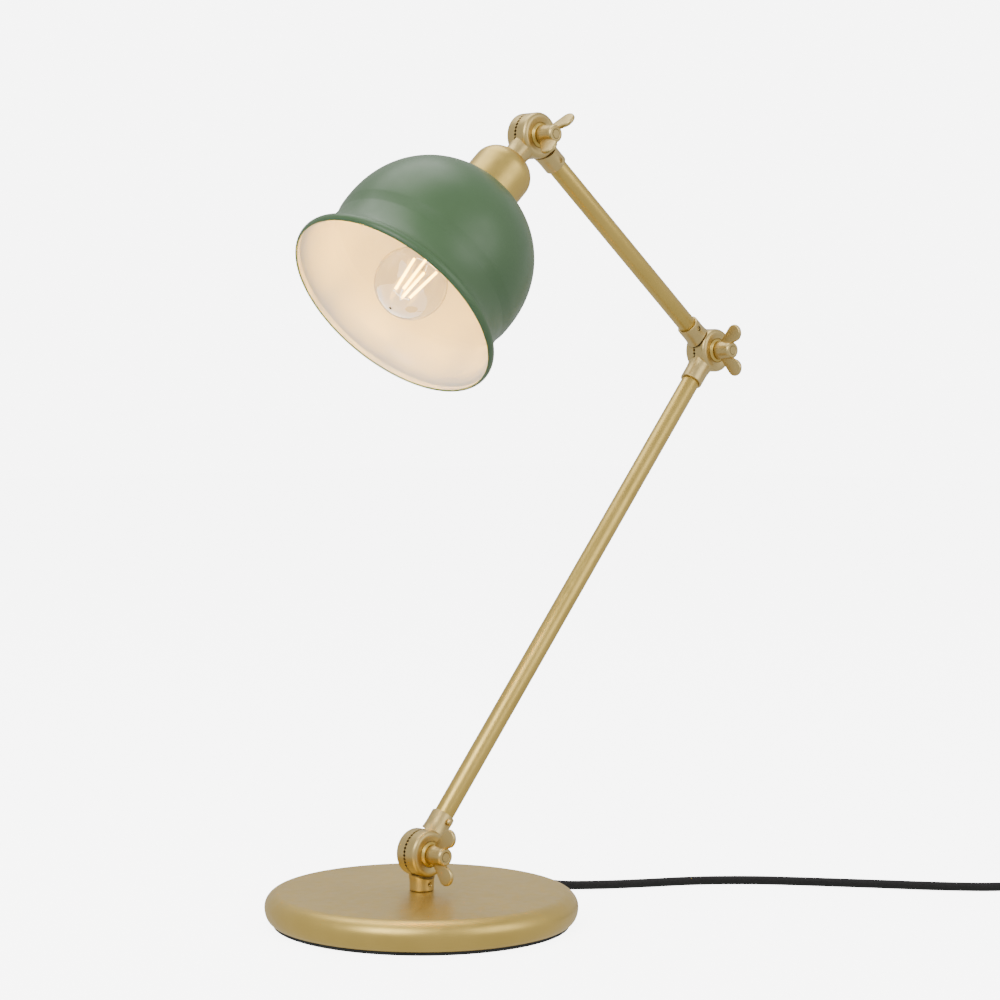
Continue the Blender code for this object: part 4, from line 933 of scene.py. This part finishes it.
def tube_flat(path, radius, around=12):
    """A thin wire along a short path: circles across it, on two fixed directions."""
    way = unit_rows(np.gradient(path, axis=0))
    side = unit_rows(np.cross(way, ACROSS + 0 * way + np.array([0.3, 0, 0.1])))
    over = np.cross(side, way)
    angle = np.linspace(0, math.tau, around, endpoint=False)[None, :, None]
    points = path[:, None] + radius * (np.cos(angle) * side[:, None] + np.sin(angle) * over[:, None])
    return closed_ends(path, points)


def joined(name, grids):
    """Several closed grids as one mesh."""
    bm = bmesh.new()
    for grid in grids:
        bm.from_mesh(mesh_of(name, grid))
    mesh = bpy.data.meshes.new(name)
    bm.to_mesh(mesh)
    bm.free()
    mesh.shade_smooth()
    mesh.set_sharp_from_angle(angle=math.radians(35))
    return linked(name, mesh)


make_base()
for name, node, body, pivot, side, way, length, bore, screw_side in (
    ("foot_fork", "stand_knuckle", "stand", foot, 1, -UP, 23.8, 5.3, -1),
    ("lower_arm_foot_half", "lower_arm_foot_knuckle", "lower_arm", foot, -1, LOWER_WAY, 28.5, 6.5, -1),
    ("lower_arm_elbow_half", "lower_arm_elbow_knuckle", "lower_arm", elbow, -1, -LOWER_WAY, 28.5, 6.5, 1),
    ("upper_arm_elbow_half", "upper_arm_elbow_knuckle", "upper_arm", elbow, 1, UPPER_WAY, 28.5, 6.5, -1),
    ("upper_arm_head_half", "upper_arm_head_knuckle", "upper_arm", wrist, 1, -UPPER_WAY, 28.5, 6.5, -1),
    ("head_half", "head_knuckle", "head", wrist, -1, HEAD_WAY, 24.5, 5.3, 1),
):
    stud = node == "lower_arm_foot_knuckle"
    make_half(name, node, body, pivot, side, way, length, bore, screw_side, stud)
make_hardware("stand", "stand", "lower_arm", foot, math.radians(5))
make_hardware("elbow", "upper_arm", "lower_arm", elbow, math.radians(-2))
make_hardware("head", "upper_arm", "head", wrist, math.radians(41))
make_arm("lower_arm", foot, elbow)
make_arm("upper_arm", elbow, wrist)
head_place = place_along(wrist, HEAD_WAY)
make_shade(head_place)
make_cup(head_place)
make_holder(head_place)
make_bulb(head_place)

for name, finish in {
    "base_weight": IRON, "base_nipple": ZINC, "nipple_nut": ZINC, "cord_clamp": ZINC, "head_nipple": ZINC,
    "lower_arm_flex": BRAID, "upper_arm_flex": BRAID, "lampholder_cap": PHENOLIC, "lampholder_core": CERAMIC,
    "centre_contact": NICKEL, "bulb_insulator": PHENOLIC, "bulb_tip_contact": NICKEL,
}.items():
    nodes[name].data.materials.clear()
    nodes[name].data.materials.append(finish)


# Studio

FLOOR_LIGHT = 6.2
ROOM_LIGHT, BACKDROP_LIGHT = 0.75, 7.0
LAMP_MIDDLE = (0.08, 0, 0.25)
SOFT_BOXES = [
    ("key_box", (-1.6, -0.6, 1.5), 1.2, 26),
    ("fill_box", (0.6, -1.9, 1.1), 1.4, 12),
    ("top_box", (0.2, 0.6, 2.1), 1.5, 18),
]


def make_studio():
    """A pale floor, a room whose backdrop is brighter than its light, and three soft boxes."""
    floor_mesh = bpy.data.meshes.new("studio_floor")
    floor_mesh.from_pydata([(-6, -6, 0), (6, -6, 0), (6, 6, 0), (-6, 6, 0)], [], [(0, 1, 2, 3)])
    floor = linked("studio_floor", floor_mesh)
    pale, _, _ = base_finish(
        "pale_floor", (0.9, 0.9, 0.9), 0.9, Emission_Color=(1, 1, 1, 1), Emission_Strength=FLOOR_LIGHT,
    )
    floor_mesh.materials.append(pale)
    floor.visible_diffuse = False
    floor.visible_glossy = False
    world = bpy.data.worlds.new("pale_room")
    bpy.context.scene.world = world
    world.use_nodes = True
    tree = world.node_tree
    tree.nodes["Background"].inputs["Color"].default_value = (1, 1, 1, 1)
    ray = tree.nodes.new("ShaderNodeLightPath")
    strength = add_node(
        tree, "ShaderNodeMapRange", Value=ray.outputs["Is Camera Ray"],
        To_Min=ROOM_LIGHT, To_Max=BACKDROP_LIGHT,
    )
    tree.links.new(strength.outputs["Result"], tree.nodes["Background"].inputs["Strength"])
    for name, spot, size, power in SOFT_BOXES:
        light = bpy.data.lights.new(name, "AREA")
        light.shape, light.size, light.energy = "SQUARE", size, power
        box = linked(name, light)
        box.location = spot
        box.rotation_euler = (Vector(LAMP_MIDDLE) - Vector(spot)).to_track_quat("-Z", "Y").to_euler()


set_camera()
make_studio()
